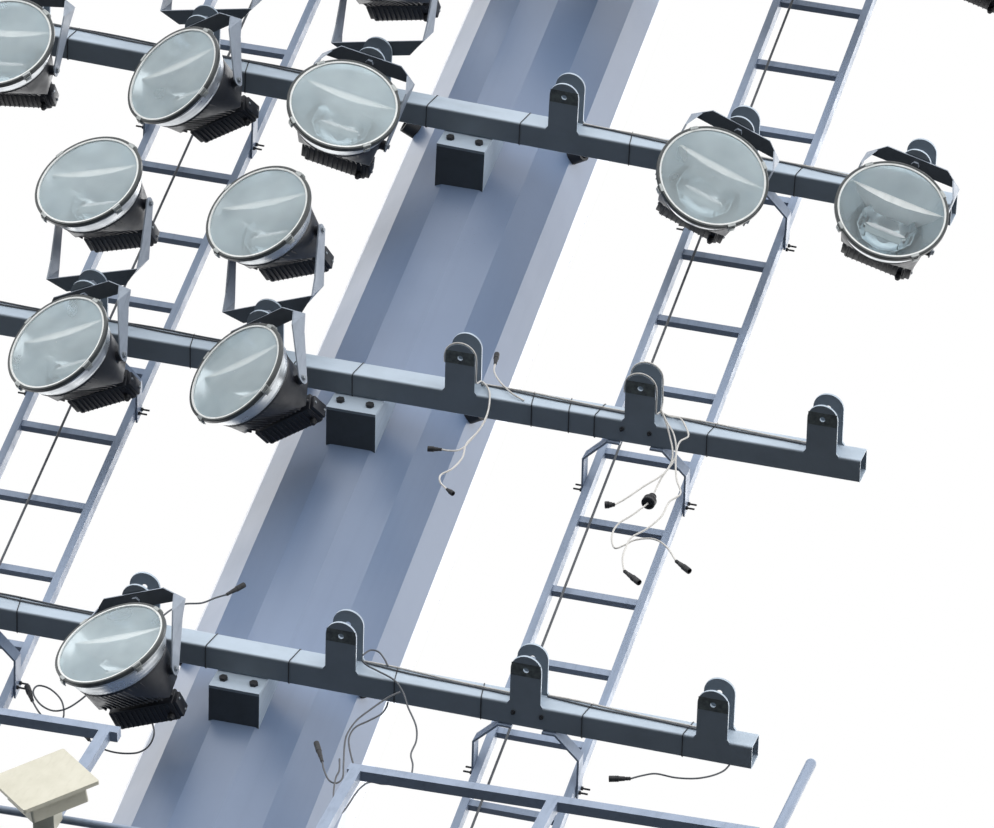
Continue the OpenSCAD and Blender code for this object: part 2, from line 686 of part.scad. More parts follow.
// Yoke of a light below its clevis: a folded strip, with the pin through the origin and the
// trunnion behind and below. The origin lies on the ear's face.
module yoke_shape() {
    half = yoke_span / 2;
    translate([0, 0, BASE_TOP - YOKE_T]) linear_extrude(YOKE_T)
        polygon([[-half + 70, -30], [half - 70, -30], [half, 33], [-half, 33]]);
    clevis_bolt();
    for (side = [0, 1]) mirror([side, 0, 0]) {
        arm_upper_half();
        arm_lower_half();
    }
}

BOWL_BACK = 84;
HOUSING_FRONT = 88;
HOUSING_REAR = -86;
HOUSING_R = 186;
HOUSING_H = 116;
HOUSING_W = 302;
TRAY_W = 291;
TRAY_FRONT = 128;
TRAY_REAR = 215.6;
TRAY_BOTTOM = -32;
TRAY_TOP = 47;

// Radius of the spun bowl at distance y in front of the trunnion.
function bowl_r(y) = rim_d / 2 - 12.5 - 26 * pow((158 - y) / (158 - BOWL_BACK), 1.6);

// Spun reflector bowl with its rim, the glass facing -Y.
module bowl() {
    rim_r = rim_d / 2;
    rotate([90, 0, 0]) rotate_extrude($fn = 96) polygon(concat(
        [[0, BOWL_BACK]], [for (y = [BOWL_BACK:18.5:158]) [bowl_r(y), y]],
        [[rim_r, 158], [rim_r, rim_reach], [rim_r - 13, rim_reach], [rim_r - 13, rim_reach - 6], [0, rim_reach - 6]]));
}

// Cast housing: round where it holds the bowl, a flat box at its rear, with fins above and below.
module housing() {
    hull() {
        rotate([90, 0, 0]) translate([0, 0, HOUSING_FRONT - 8]) cylinder(r = HOUSING_R, h = 8, $fn = 48);
        translate([-HOUSING_W / 2, -HOUSING_REAR - 10, -HOUSING_H / 2]) cube([HOUSING_W, 10, HOUSING_H]);
    }
    for (x = [-120:40:120], z = [0, 1]) mirror([0, 0, z]) housing_fin(x);
}

module housing_fin(x) {
    front = -sqrt(pow(HOUSING_R, 2) - x * x);
    translate([x - 2, 0, 0]) rotate([90, 0, 90]) linear_extrude(4) polygon([
        [-80, front - 4], [86, -HOUSING_H / 2 - 10], [86, -HOUSING_H / 2 + 6], [-80, front + 16]]);
}

// Control-gear tray behind the housing on four standoffs, with its cable gland.
module gear_tray() {
    translate([-TRAY_W / 2, TRAY_FRONT, TRAY_BOTTOM])
        cube([TRAY_W, TRAY_REAR - TRAY_FRONT, TRAY_TOP - TRAY_BOTTOM]);
    for (x = [-117, -39, 39, 117]) translate([x, -HOUSING_REAR - 2, 8]) rotate([-90, 0, 0])
        cylinder(d = 18, h = TRAY_FRONT + HOUSING_REAR + 4, $fn = 24);
    translate([GLAND_X, GLAND_Y, TRAY_BOTTOM - 26]) cylinder(d = 24, h = 28, $fn = 24);
}

GLAND_X = 104;
GLAND_Y = 188;

// Floodlight head, with the trunnion along X through the origin.
module head_shape() {
    bowl();
    housing();
    gear_tray();
    for (side = [-1, 1]) rotate([0, side * 90, 0]) {
        cylinder(d = TRUNNION_D, h = yoke_span / 2 + 10, $fn = 32);
        cylinder(d = 40, h = yoke_span / 2 - YOKE_T - 2, $fn = 48);
    }
}

// Places its children at a light's clevis pin, turned by its pan.
module at_pin(light) {
    row = light[1];
    on_row(row) translate([CLEVIS_X[light[2]] + ROW_SLIDE[row], PIN_Y, light[3] * EAR_FACE])
        rotate([0, 0, light[4] - ROW_TURN[row]]) children();
}

// Turns a light below its clevis into one above it.
module side_up(light) {
    if (light[3] > 0) rotate([180, 0, 0]) children();
    else children();
}

module yoke(light) {
    color(YOKE_GREY) at_pin(light) side_up(light) yoke_shape();
}

module yokes_top_row() {
    for (light = TOP_LIGHTS) yoke(light);
}

module head(light) {
    color(HOUSING_BLACK) at_pin(light)
        translate([0, -light[3] * yoke_sweep, light[3] * yoke_drop]) rotate([light[5], 0, 0]) head_shape();
}

module heads_top_row() {
    for (light = TOP_LIGHTS) head(light);
}

base_flange();
mast_lower();
mast_middle();
mast_upper();
mast_cap();
service_doors();
crossarm_1();
crossarm_2();
crossarm_3();
crossarm_4();
stub_brackets();
splice_bolts();
cable_outlets();
ladder_left();
ladder_right();
ladder_brackets();
fall_arrest_cables();
platform_frame();
platform_deck();
railing_front();
railing_rear();
aerial_pole();
panel_aerial();
yokes_top_row();
heads_top_row();
leads_crossarm_3();
leads_crossarm_4();
lead_plugs();
for (light = LIGHTS) {
    yoke(light);
    head(light);
}
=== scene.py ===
"""Looks of the stadium floodlight pylon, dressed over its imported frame.

The steelwork keeps the shape that the frame gives and gets weathered paint. The floodlight heads, the
deck, the leads, their plugs and the small hardware are modelled here. Everything is in metres: X runs
along the crossarms, -Y faces the pitch and Z is up.
"""
import json
import logging
import math
from dataclasses import dataclass, field
from enum import Enum

import bpy
from mathutils import Matrix, Vector

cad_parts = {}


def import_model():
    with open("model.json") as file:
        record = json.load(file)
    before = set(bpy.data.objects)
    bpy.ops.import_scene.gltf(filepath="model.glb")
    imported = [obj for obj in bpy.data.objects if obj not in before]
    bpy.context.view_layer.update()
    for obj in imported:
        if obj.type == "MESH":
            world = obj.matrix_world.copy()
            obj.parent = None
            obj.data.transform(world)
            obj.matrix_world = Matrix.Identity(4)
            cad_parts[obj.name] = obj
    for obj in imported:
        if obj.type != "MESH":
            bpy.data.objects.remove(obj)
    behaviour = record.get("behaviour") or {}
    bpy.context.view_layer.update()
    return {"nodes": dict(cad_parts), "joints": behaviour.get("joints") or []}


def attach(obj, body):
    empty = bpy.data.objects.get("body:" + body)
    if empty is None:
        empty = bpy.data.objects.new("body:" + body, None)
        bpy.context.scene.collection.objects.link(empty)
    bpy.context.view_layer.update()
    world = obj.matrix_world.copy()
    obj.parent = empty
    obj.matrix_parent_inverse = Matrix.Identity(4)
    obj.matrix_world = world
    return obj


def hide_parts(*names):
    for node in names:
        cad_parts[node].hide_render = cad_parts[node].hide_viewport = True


LOG = logging.getLogger("pylon")
LEAN = math.radians(15.5)
MAST_TURN = Matrix.Rotation(LEAN, 4, "X")
MAST_OUT = Vector((0.0, math.cos(LEAN), math.sin(LEAN)))
MAST_RISE = Vector((0.0, -math.sin(LEAN), math.cos(LEAN)))
MAST_SIDES = 16
ROW_STATIONS = (33.5, 32.0, 30.5, 29.0)
ROW_TURNS = (0.0, 1.7, 0.1, 0.5)
ROW_SLIDES = (0.0, -0.008, 0.012, -0.010)
ARM_OFFSET = 0.574
ARM_SIDE = 0.100
EAR_REACH = 0.155
EAR_HALF = 0.060
PIN_PLACE = -ARM_SIDE / 2 - EAR_REACH
CLEVIS_LEFT = 0.412
CLEVIS_RIGHT = 0.395
CLEVIS_PITCH = 0.724
CLEVIS_COUNT = 6
LEFT_CLEVISES = 3
LEAD_WIDTH = 0.007
WHITE_ROW = 2
DECK_OFFSET = (0.0, -0.400, -2.250)
DECK_TURN = -1.5
TOWER = "tower"
SAME_PLACE = 0.00001
MILLIMETRE = 1000
NO_MOVE = (0.0, 0.0, 0.0)
Point = tuple[float, float, float]
Outline = list[tuple[float, float]]
Piece = bpy.types.Object
Socket = bpy.types.NodeSocket


def spun(degrees: float, axis: str) -> Matrix:
    """Gives a turn about an axis, in degrees."""
    return Matrix.Rotation(math.radians(degrees), 4, axis)


def on_mast(across: float, ahead: float, along: float) -> Vector:
    """Gives the place of a point that is told in the mast's own directions.

    Args:
        across: Distance along the crossarms, in metres.
        ahead: Distance from the mast's axis, square to the mast and away from the pitch.
        along: Distance up the mast's axis.

    Returns:
        The point in the frame's directions.
    """
    return Vector((across, 0.0, 0.0)) + MAST_OUT * ahead + MAST_RISE * along


def crossarm_middle(row: int) -> Vector:
    """Gives the middle of a crossarm's square tube, counted from the top as 0."""
    return on_mast(0.0, -ARM_OFFSET, ROW_STATIONS[row])


def on_row(row: int) -> Matrix:
    """Gives the place and turn of a crossarm's middle, counted from the top as 0."""
    return Matrix.Translation(crossarm_middle(row)) @ spun(ROW_TURNS[row], "Z")


def clevis_across(row: int, column: int) -> float:
    """Gives how far along its crossarm a clevis sits, both counted from 0.

    Args:
        row: The crossarm, counted from the top.
        column: The clevis, counted from the left.

    Returns:
        Its distance from the crossarm's middle, in metres.
    """
    if column < LEFT_CLEVISES:
        return ROW_SLIDES[row] - CLEVIS_LEFT - (LEFT_CLEVISES - 1 - column) * CLEVIS_PITCH
    return ROW_SLIDES[row] + CLEVIS_RIGHT + (column - LEFT_CLEVISES) * CLEVIS_PITCH


def deck_place() -> Matrix:
    """Gives the place and turn of the platform: the middle of its front edge, at the deck's top."""
    return Matrix.Translation(crossarm_middle(3) + Vector(DECK_OFFSET)) @ spun(DECK_TURN, "Z")


def smooth_route(points: list[Vector], steps: int = 6) -> list[Vector]:
    """Follows the smooth curve that passes through a route's points.

    Args:
        points: The route's points, in order.
        steps: Number of short stretches between two of them.

    Returns:
        The curve's points, the route's own among them.
    """
    path = []
    last = len(points) - 1
    for index in range(last):
        before, start = points[max(index - 1, 0)], points[index]
        end, after = points[index + 1], points[min(index + 2, last)]
        for step in range(steps):
            u = step / steps
            path.append(start + u * (end - before) / 2 + u * u * (before - 2.5 * start + 2 * end - after / 2)
                        + u ** 3 * (1.5 * (start - end) + (after - before) / 2))
    path.append(points[last])
    return path


def linear(colour: str) -> tuple[float, float, float, float]:
    """Turns a written #rrggbb colour into the linear values that shaders use.

    Args:
        colour: The written colour.

    Returns:
        Red, green, blue and a full alpha.
    """
    parts = [int(colour[i:i + 2], 16) / 255 for i in (1, 3, 5)]
    values = [p / 12.92 if p <= 0.04045 else ((p + 0.055) / 1.055) ** 2.4 for p in parts]
    return (values[0], values[1], values[2], 1.0)


class Way(Enum):
    """Directions that a turned piece's axis can take."""

    UP = Matrix.Identity(4)
    AHEAD = spun(90, "X")
    RIGHT = spun(90, "Y")
    LEFT = spun(-90, "Y")
    SIDEWAYS = Matrix(((0, 0, 1, 0), (1, 0, 0, 0), (0, 1, 0, 0), (0, 0, 0, 1)))

    @classmethod
    def sideways(cls, side: int) -> "Way":
        """Gives the way out of a piece's right side, which is 1, or its left side, which is -1."""
        return cls.RIGHT if side > 0 else cls.LEFT


class Bench:
    """Modelling steps that are used again and again, made with Blender's own operators."""

    @staticmethod
    def clear() -> None:
        """Deselects every object."""
        bpy.ops.object.select_all(action="DESELECT")

    @staticmethod
    def take(*objects: Piece) -> None:
        """Selects only these objects and makes the first one active.

        Args:
            objects: The objects.
        """
        Bench.clear()
        for obj in objects:
            obj.select_set(True)
        bpy.context.view_layer.objects.active = objects[0]

    @staticmethod
    def open_up() -> None:
        """Starts editing the active mesh, with all of it selected."""
        bpy.ops.object.mode_set(mode="EDIT")
        bpy.ops.mesh.select_all(action="SELECT")

    @staticmethod
    def shut() -> None:
        """Ends editing."""
        bpy.ops.object.mode_set(mode="OBJECT")

    @staticmethod
    def turned(name: str, outline: Outline, steps: int = 32, way: Way = Way.UP, place: Point = NO_MOVE,
               filled: bool = True) -> Piece:
        """Turns an outline round an axis, as on a lathe.

        Args:
            name: Name of the new object.
            outline: Pairs of radius and distance along the axis, from one end to the other.
            steps: Number of faces round the axis.
            way: Direction of the axis.
            place: Where the outline's zero goes.
            filled: Whether both ends are closed.

        Returns:
            The new object, with its place in its mesh.
        """
        Bench.clear()
        radius, station = outline[0]
        bpy.ops.mesh.primitive_circle_add(vertices=steps, radius=radius, location=(0, 0, station),
                                          fill_type="NGON" if filled else "NOTHING")
        obj = bpy.context.active_object
        obj.name = name
        bpy.ops.object.transform_apply(location=True, rotation=True, scale=True)
        Bench.open_up()
        for next_radius, next_station in outline[1:]:
            lift = {"value": (0, 0, next_station - station)}
            if filled:
                bpy.ops.mesh.extrude_region_move(TRANSFORM_OT_translate=lift)
            else:
                bpy.ops.mesh.extrude_edges_move(TRANSFORM_OT_translate=lift)
            ratio = next_radius / radius
            bpy.ops.transform.resize(value=(ratio, ratio, 1), center_override=(0, 0, next_station))
            radius, station = next_radius, next_station
        bpy.ops.mesh.select_all(action="SELECT")
        bpy.ops.mesh.remove_doubles(threshold=SAME_PLACE)
        bpy.ops.mesh.normals_make_consistent(inside=False)
        Bench.shut()
        obj.data.transform(Matrix.Translation(place) @ way.value)
        return obj

    @staticmethod
    def block(name: str, size: Point, place: Point, round_by: float = 0.0, segments: int = 2) -> Piece:
        """Makes a block with rounded edges.

        Args:
            name: Name of the new object.
            size: Its whole width, depth and height.
            place: Its middle.
            round_by: Radius of its edges, or 0 for sharp ones.
            segments: Number of faces across a rounded edge.

        Returns:
            The new object, with its place in its mesh.
        """
        Bench.clear()
        bpy.ops.mesh.primitive_cube_add(size=1)
        obj = bpy.context.active_object
        obj.name = name
        Bench.open_up()
        bpy.ops.transform.resize(value=size)
        if round_by:
            bpy.ops.mesh.bevel(offset=round_by, segments=segments, affect="EDGES")
        Bench.shut()
        obj.data.transform(Matrix.Translation(place))
        return obj

    @staticmethod
    def plate(name: str, outline: Outline, thickness: float) -> Piece:
        """Makes a flat plate of any outline, lying in X and Y.

        Args:
            name: Name of the new object.
            outline: Its corners, in order.
            thickness: Its thickness, along Z from 0.

        Returns:
            The new object.
        """
        Bench.clear()
        bpy.ops.mesh.primitive_circle_add(vertices=len(outline), radius=1, fill_type="NGON")
        obj = bpy.context.active_object
        obj.name = name
        for vertex, corner in zip(obj.data.vertices, outline):
            vertex.co = (*corner, 0.0)
        Bench.open_up()
        bpy.ops.mesh.extrude_region_move(TRANSFORM_OT_translate={"value": (0, 0, thickness)})
        bpy.ops.mesh.select_all(action="SELECT")
        bpy.ops.mesh.normals_make_consistent(inside=False)
        Bench.shut()
        return obj

    @staticmethod
    def thickened(obj: Piece, thickness: float) -> Piece:
        """Gives an open sheet a wall on its inner side.

        Args:
            obj: The sheet.
            thickness: The wall's thickness.

        Returns:
            The same object.
        """
        wall = obj.modifiers.new("sheet", "SOLIDIFY")
        wall.thickness = thickness
        wall.offset = -1.0
        return Bench.applied(obj)

    @staticmethod
    def facing_in(obj: Piece, thickness: float) -> Piece:
        """Turns a bowl's faces inwards and gives it a wall behind them.

        Args:
            obj: The bowl.
            thickness: The wall's thickness.

        Returns:
            The same object.
        """
        Bench.take(obj)
        Bench.open_up()
        bpy.ops.mesh.flip_normals()
        Bench.shut()
        return Bench.thickened(obj, thickness)

    @staticmethod
    def joined(name: str, parts: list[Piece], smooth_below: float = 35.0) -> Piece:
        """Joins finished parts into one object and smooths its shallow edges.

        Args:
            name: Name of the joined object.
            parts: The parts. The first keeps its material slots first.
            smooth_below: Edges flatter than this angle, in degrees, are shaded smooth.

        Returns:
            The joined object.
        """
        Bench.take(*parts)
        if len(parts) > 1:
            bpy.ops.object.join()
        obj = bpy.context.active_object
        obj.name = name
        obj.data.name = name
        bpy.ops.object.shade_smooth_by_angle(angle=math.radians(smooth_below))
        return obj

    @staticmethod
    def copy(obj: Piece, name: str, matrix: Matrix) -> Piece:
        """Copies an object with its own mesh, and puts the place into that mesh.

        Args:
            obj: The object that is copied.
            name: Name of the copy.
            matrix: Where the copy goes.

        Returns:
            The copy.
        """
        twin = obj.copy()
        twin.data = obj.data.copy()
        twin.name = name
        twin.data.name = name
        bpy.context.scene.collection.objects.link(twin)
        twin.data.transform(matrix)
        return twin

    @staticmethod
    def dressed(obj: Piece, finish: "Finish") -> Piece:
        """Gives an object one finish.

        Args:
            obj: The object.
            finish: Its finish.

        Returns:
            The same object.
        """
        obj.data.materials.clear()
        obj.data.materials.append(finish.build())
        return obj

    @staticmethod
    def applied(obj: Piece) -> Piece:
        """Applies every modifier of an object.

        Args:
            obj: The object.

        Returns:
            The same object.
        """
        Bench.take(obj)
        for modifier in list(obj.modifiers):
            bpy.ops.object.modifier_apply(modifier=modifier.name)
        return obj

    @staticmethod
    def repeated(obj: Piece, count: int, step: Point) -> Piece:
        """Repeats an object in a row.

        Args:
            obj: The first of the row.
            count: Number in the row.
            step: The way from one to the next.

        Returns:
            The same object, as the whole row.
        """
        row = obj.modifiers.new("row", "ARRAY")
        row.count = count
        row.use_relative_offset = False
        row.use_constant_offset = True
        row.constant_offset_displace = step
        return Bench.applied(obj)

    @staticmethod
    def cut(obj: Piece, tool: Piece, keep_inside: bool) -> Piece:
        """Cuts a closed object with another one.

        Args:
            obj: The object that is cut.
            tool: The closed object that cuts it.
            keep_inside: Whether what lies inside the tool stays, or else what lies outside it.

        Returns:
            The cut object.
        """
        edge = obj.modifiers.new("cut", "BOOLEAN")
        edge.operation = "INTERSECT" if keep_inside else "DIFFERENCE"
        edge.solver = "MANIFOLD"
        edge.object = tool
        return Bench.applied(obj)

    @staticmethod
    def line(name: str, places: list[Vector], radius: float, ring: int, closed: bool = False) -> Piece:
        """Makes a round curve that goes straight from point to point.

        Args:
            name: Name of the new object.
            places: The points that it passes.
            radius: Its radius.
            ring: Blender's bevel resolution, which sets the faces round it.
            closed: Whether its end meets its start.

        Returns:
            The new curve object.
        """
        curve = bpy.data.curves.new(name, "CURVE")
        curve.dimensions = "3D"
        curve.bevel_depth = radius
        curve.bevel_resolution = ring
        curve.use_fill_caps = not closed
        spline = curve.splines.new("POLY")
        spline.points.add(len(places) - 1)
        for point, place in zip(spline.points, places):
            point.co = (*place, 1.0)
        spline.use_cyclic_u = closed
        obj = bpy.data.objects.new(name, curve)
        bpy.context.scene.collection.objects.link(obj)
        return obj

    @staticmethod
    def strand(name: str, places: list[Vector], radius: float, ring: int, closed: bool = False) -> Piece:
        """Makes a thin fixed strand as a mesh, told as a line is.

        Args:
            name: Name of the new object.
            places: The points that it passes.
            radius: Its radius.
            ring: Blender's bevel resolution, which sets the faces round it.
            closed: Whether its end meets its start.

        Returns:
            The new mesh object.
        """
        obj = Bench.line(name, places, radius, ring, closed)
        Bench.take(obj)
        bpy.ops.object.convert(target="MESH")
        return obj


class Shader:
    """A short way of writing node trees."""

    def __init__(self, tree: bpy.types.NodeTree) -> None:
        """Keeps the tree that nodes are added to."""
        self.tree = tree

    def feed(self, socket: Socket, value: object) -> None:
        """Gives an input a value, or links it to an output.

        Args:
            socket: The input.
            value: A plain value, or another node's output.
        """
        if isinstance(value, Socket):
            self.tree.links.new(value, socket)
        else:
            socket.default_value = value

    def node(self, kind: str, settings: dict | None = None, **inputs: object) -> bpy.types.Node:
        """Adds a node.

        Args:
            kind: The node's type, such as ShaderNodeTexNoise.
            settings: Its own settings, by name.
            inputs: Values or output sockets for its inputs. An underscore stands for a space.

        Returns:
            The new node.
        """
        made = self.tree.nodes.new(kind)
        for key, value in (settings or {}).items():
            setattr(made, key, value)
        for key, value in inputs.items():
            self.feed(made.inputs[key.replace("_", " ")], value)
        return made

    def ramp(self, value: object, start: float, end: float, low: object = 0.0, high: object = 1.0,
             smooth: bool = False) -> Socket:
        """Adds a Map Range node.

        Args:
            value: What is mapped.
            start: The value that gives the low result.
            end: The value that gives the high result.
            low: The low result.
            high: The high result.
            smooth: Whether the way between them is eased at both ends.

        Returns:
            The node's output.
        """
        settings = {"interpolation_type": "SMOOTHSTEP"} if smooth else None
        made = self.node("ShaderNodeMapRange", settings, Value=value, From_Min=start, From_Max=end,
                         To_Min=low, To_Max=high)
        return made.outputs[0]

    def noise(self, place: Socket, scale: object, detail: float, roughness: float = 0.5) -> Socket:
        """Adds a Noise Texture node and gives its value."""
        made = self.node("ShaderNodeTexNoise", Vector=place, Scale=scale, Detail=detail, Roughness=roughness)
        return made.outputs[0]

    def math(self, operation: str, first: object, second: object = 0.0, clamp: bool = False) -> Socket:
        """Adds a Math node and gives its output.

        Args:
            operation: What it does, in Blender's words.
            first: Its first value or output.
            second: Its second one.
            clamp: Whether the result is kept from 0 to 1.

        Returns:
            The node's output.
        """
        made = self.node("ShaderNodeMath", {"operation": operation, "use_clamp": clamp})
        self.feed(made.inputs[0], first)
        self.feed(made.inputs[1], second)
        return made.outputs[0]

    def blend(self, amount: object, first: object, second: object) -> Socket:
        """Mixes two colours by an amount and gives the result.

        Args:
            amount: The share of the second colour.
            first: The first colour.
            second: The second colour.

        Returns:
            The node's output.
        """
        made = self.node("ShaderNodeMix", {"data_type": "RGBA"})
        for index, value in ((0, amount), (6, first), (7, second)):
            self.feed(made.inputs[index], value)
        return made.outputs[2]


def weathering_group() -> bpy.types.NodeTree:
    """Builds the group that most finishes share, once.

    Returns:
        A group that turns a position into run-off streaks, blotches, specks and a fine height.
    """
    name = "outdoor weathering"
    if name in bpy.data.node_groups:
        return bpy.data.node_groups[name]
    group = bpy.data.node_groups.new(name, "ShaderNodeTree")
    group.interface.new_socket("Position", in_out="INPUT", socket_type="NodeSocketVector")
    for label in ("Streak Width", "Streak Length", "Blotch Size", "Speck Size"):
        group.interface.new_socket(label, in_out="INPUT", socket_type="NodeSocketFloat")
    for label in ("Streaks", "Blotches", "Specks", "Height"):
        group.interface.new_socket(label, in_out="OUTPUT", socket_type="NodeSocketFloat")
    shader = Shader(group)
    source = group.nodes.new("NodeGroupInput")
    sink = group.nodes.new("NodeGroupOutput")
    place = source.outputs["Position"]
    wide, long, big, small = (shader.math("DIVIDE", 1.0, source.outputs[label])
                              for label in ("Streak Width", "Streak Length", "Blotch Size", "Speck Size"))
    stretch = shader.node("ShaderNodeCombineXYZ", X=wide, Y=wide, Z=long)
    drawn = shader.node("ShaderNodeVectorMath", {"operation": "MULTIPLY"})
    shader.feed(drawn.inputs[0], place)
    shader.feed(drawn.inputs[1], stretch.outputs[0])
    streaks = shader.ramp(shader.noise(drawn.outputs[0], 1.0, 3.0, 0.6), 0.48, 0.72, smooth=True)
    clouds = shader.noise(place, big, 5.0, 0.62)
    dots = shader.node("ShaderNodeTexVoronoi", Vector=place, Scale=small, Randomness=1.0)
    near = shader.ramp(dots.outputs["Distance"], 0.16, 0.05)
    rare = shader.ramp(clouds, 0.55, 0.62)
    grain = shader.noise(place, 160.0, 2.0)
    shader.feed(sink.inputs["Streaks"], streaks)
    shader.feed(sink.inputs["Blotches"], shader.ramp(clouds, 0.35, 0.68))
    shader.feed(sink.inputs["Specks"], shader.math("MULTIPLY", near, rare, clamp=True))
    shader.feed(sink.inputs["Height"], shader.math("ADD", shader.math("MULTIPLY", clouds, 0.7),
                                                   shader.math("MULTIPLY", grain, 0.3)))
    return group


@dataclass(frozen=True)
class Finish:
    """What one surface looks like, under one name."""

    name: str

    def build(self) -> bpy.types.Material:
        """Makes the material, or gives the one made before.

        Returns:
            The material, under the finish's name.
        """
        if self.name in bpy.data.materials:
            return bpy.data.materials[self.name]
        material = bpy.data.materials.new(self.name)
        material.use_nodes = True
        self.paint(Shader(material.node_tree), material.node_tree.nodes["Principled BSDF"])
        return material

    def paint(self, shader: Shader, body: bpy.types.Node) -> None:
        """Sets the main shader's inputs. Each kind of finish has its own.

        Args:
            shader: Adds nodes to the material.
            body: The material's main shader node.
        """


@dataclass(frozen=True)
class Weathered(Finish):
    """A paint, metal or plastic that stands outdoors."""

    colour: str
    dirt: str
    speck: str
    roughness: float = 0.45
    metallic: float = 0.0
    streak_amount: float = 0.3
    blotch_amount: float = 0.25
    speck_amount: float = 0.3
    streak_width: float = 0.02
    streak_length: float = 1.2
    blotch_size: float = 0.35
    speck_size: float = 0.02
    bump: float = 0.05
    bump_depth: float = 0.004
    coat: float = 0.0
    coat_roughness: float = 0.3
    # Colour and strength of the painted shade laid on faces that point down.
    painted_underside_shade: str = "#2e3438"
    painted_underside_shade_amount: float = 0.0

    def paint(self, shader: Shader, body: bpy.types.Node) -> None:
        """Lays dirt, streaks and specks over the colour, and paints shade on what faces down.

        Args:
            shader: Adds nodes to the material.
            body: The material's main shader node.
        """
        where = shader.node("ShaderNodeTexCoord")
        along = shader.node("ShaderNodeMapping", Vector=where.outputs["Object"], Rotation=(-LEAN, 0, 0))
        weather = shader.node("ShaderNodeGroup", {"node_tree": weathering_group()}, Position=along.outputs[0],
                              Streak_Width=self.streak_width, Streak_Length=self.streak_length,
                              Blotch_Size=self.blotch_size, Speck_Size=self.speck_size).outputs
        colour = linear(self.colour)
        for effect, amount, shade in (("Blotches", self.blotch_amount, self.dirt),
                                      ("Streaks", self.streak_amount, self.dirt),
                                      ("Specks", self.speck_amount, self.speck)):
            share = shader.math("MULTIPLY", weather[effect], amount, clamp=True)
            colour = shader.blend(share, colour, linear(shade))
        # Painted shade: faces whose normal points down are darkened towards a dark colour, standing in for
        # the shade under things.
        if self.painted_underside_shade_amount:
            facing = shader.node("ShaderNodeSeparateXYZ", Vector=where.outputs["Normal"])
            below = shader.ramp(facing.outputs["Z"], -0.45, -0.95, 0.0, self.painted_underside_shade_amount)
            colour = shader.blend(below, colour, linear(self.painted_underside_shade))
        rough = shader.ramp(weather["Blotches"], 0.0, 1.0, self.roughness - 0.06, self.roughness + 0.12)
        bump = shader.node("ShaderNodeBump", Height=weather["Height"], Strength=self.bump,
                           Distance=self.bump_depth)
        for label, value in (("Base Color", colour), ("Roughness", rough), ("Metallic", self.metallic),
                             ("Coat Weight", self.coat), ("Coat Roughness", self.coat_roughness),
                             ("Normal", bump.outputs[0])):
            shader.feed(body.inputs[label], value)


@dataclass(frozen=True)
class DustAndReflectionGlass(Finish):
    """Front glass with a thin pale veil, through which the reflector shows. The veil is dust and also paints
    the sky's reflection in the glass.
    """

    name: str = "dusty front glass"
    # The veil's pale colour and opacity paint the sky's reflection as well as dust.
    colour: str = "#dff0f6"
    veil: float = 0.36
    veil_spread: float = 0.07
    roughness: float = 0.06

    def paint(self, shader: Shader, body: bpy.types.Node) -> None:
        """Makes the glass clear apart from its veil of dust and painted reflection.

        Args:
            shader: Adds nodes to the material.
            body: The material's main shader node.
        """
        where = shader.node("ShaderNodeTexCoord")
        dust = shader.noise(where.outputs["Object"], 5.0, 2.0)
        veil = shader.ramp(dust, 0.3, 0.7, self.veil - self.veil_spread, self.veil + self.veil_spread)
        shader.feed(body.inputs["Alpha"], veil)
        shader.feed(body.inputs["Base Color"], linear(self.colour))
        shader.feed(body.inputs["Roughness"], self.roughness)


@dataclass(frozen=True)
class Inner(Finish):
    """A clean material for what lies behind the front glass."""

    colour: str
    roughness: float
    metallic: float

    def paint(self, shader: Shader, body: bpy.types.Node) -> None:
        """Clouds the colour and the shine a little.

        Args:
            shader: Adds nodes to the material.
            body: The material's main shader node.
        """
        where = shader.node("ShaderNodeTexCoord")
        cloud = shader.noise(where.outputs["Object"], 14.0, 4.0)
        shade = linear(self.colour)
        darker = (shade[0] * 0.75, shade[1] * 0.77, shade[2] * 0.8, 1.0)
        shader.feed(body.inputs["Base Color"], shader.blend(cloud, shade, darker))
        rough = shader.ramp(cloud, 0.0, 1.0, self.roughness * 0.7, self.roughness * 1.4)
        shader.feed(body.inputs["Roughness"], rough)
        shader.feed(body.inputs["Metallic"], self.metallic)


@dataclass(frozen=True)
class PaleFloor(Finish):
    """A dull dark floor that the camera sees as white from above and not at all from below."""

    name: str = "pale floor"
    dark: tuple[float, ...] = (0.015, 0.016, 0.018, 1.0)
    pale: tuple[float, ...] = (0.86, 0.86, 0.86, 1.0)
    roughness: float = 0.9

    def paint(self, shader: Shader, body: bpy.types.Node) -> None:
        """Tells the camera's rays from the light's.

        Args:
            shader: Adds nodes to the material.
            body: The material's main shader node.
        """
        seen = shader.node("ShaderNodeLightPath").outputs["Is Camera Ray"]
        shader.feed(body.inputs["Base Color"], shader.blend(seen, self.dark, self.pale))
        shader.feed(body.inputs["Roughness"], self.roughness)
        side = shader.node("ShaderNodeNewGeometry")
        clear = shader.node("ShaderNodeBsdfTransparent")
        mixed = shader.node("ShaderNodeMixShader")
        shader.feed(mixed.inputs[0], shader.math("MULTIPLY", seen, side.outputs["Backfacing"]))
        shader.feed(mixed.inputs[1], body.outputs[0])
        shader.feed(mixed.inputs[2], clear.outputs[0])
        shader.feed(shader.tree.nodes["Material Output"].inputs["Surface"], mixed.outputs[0])


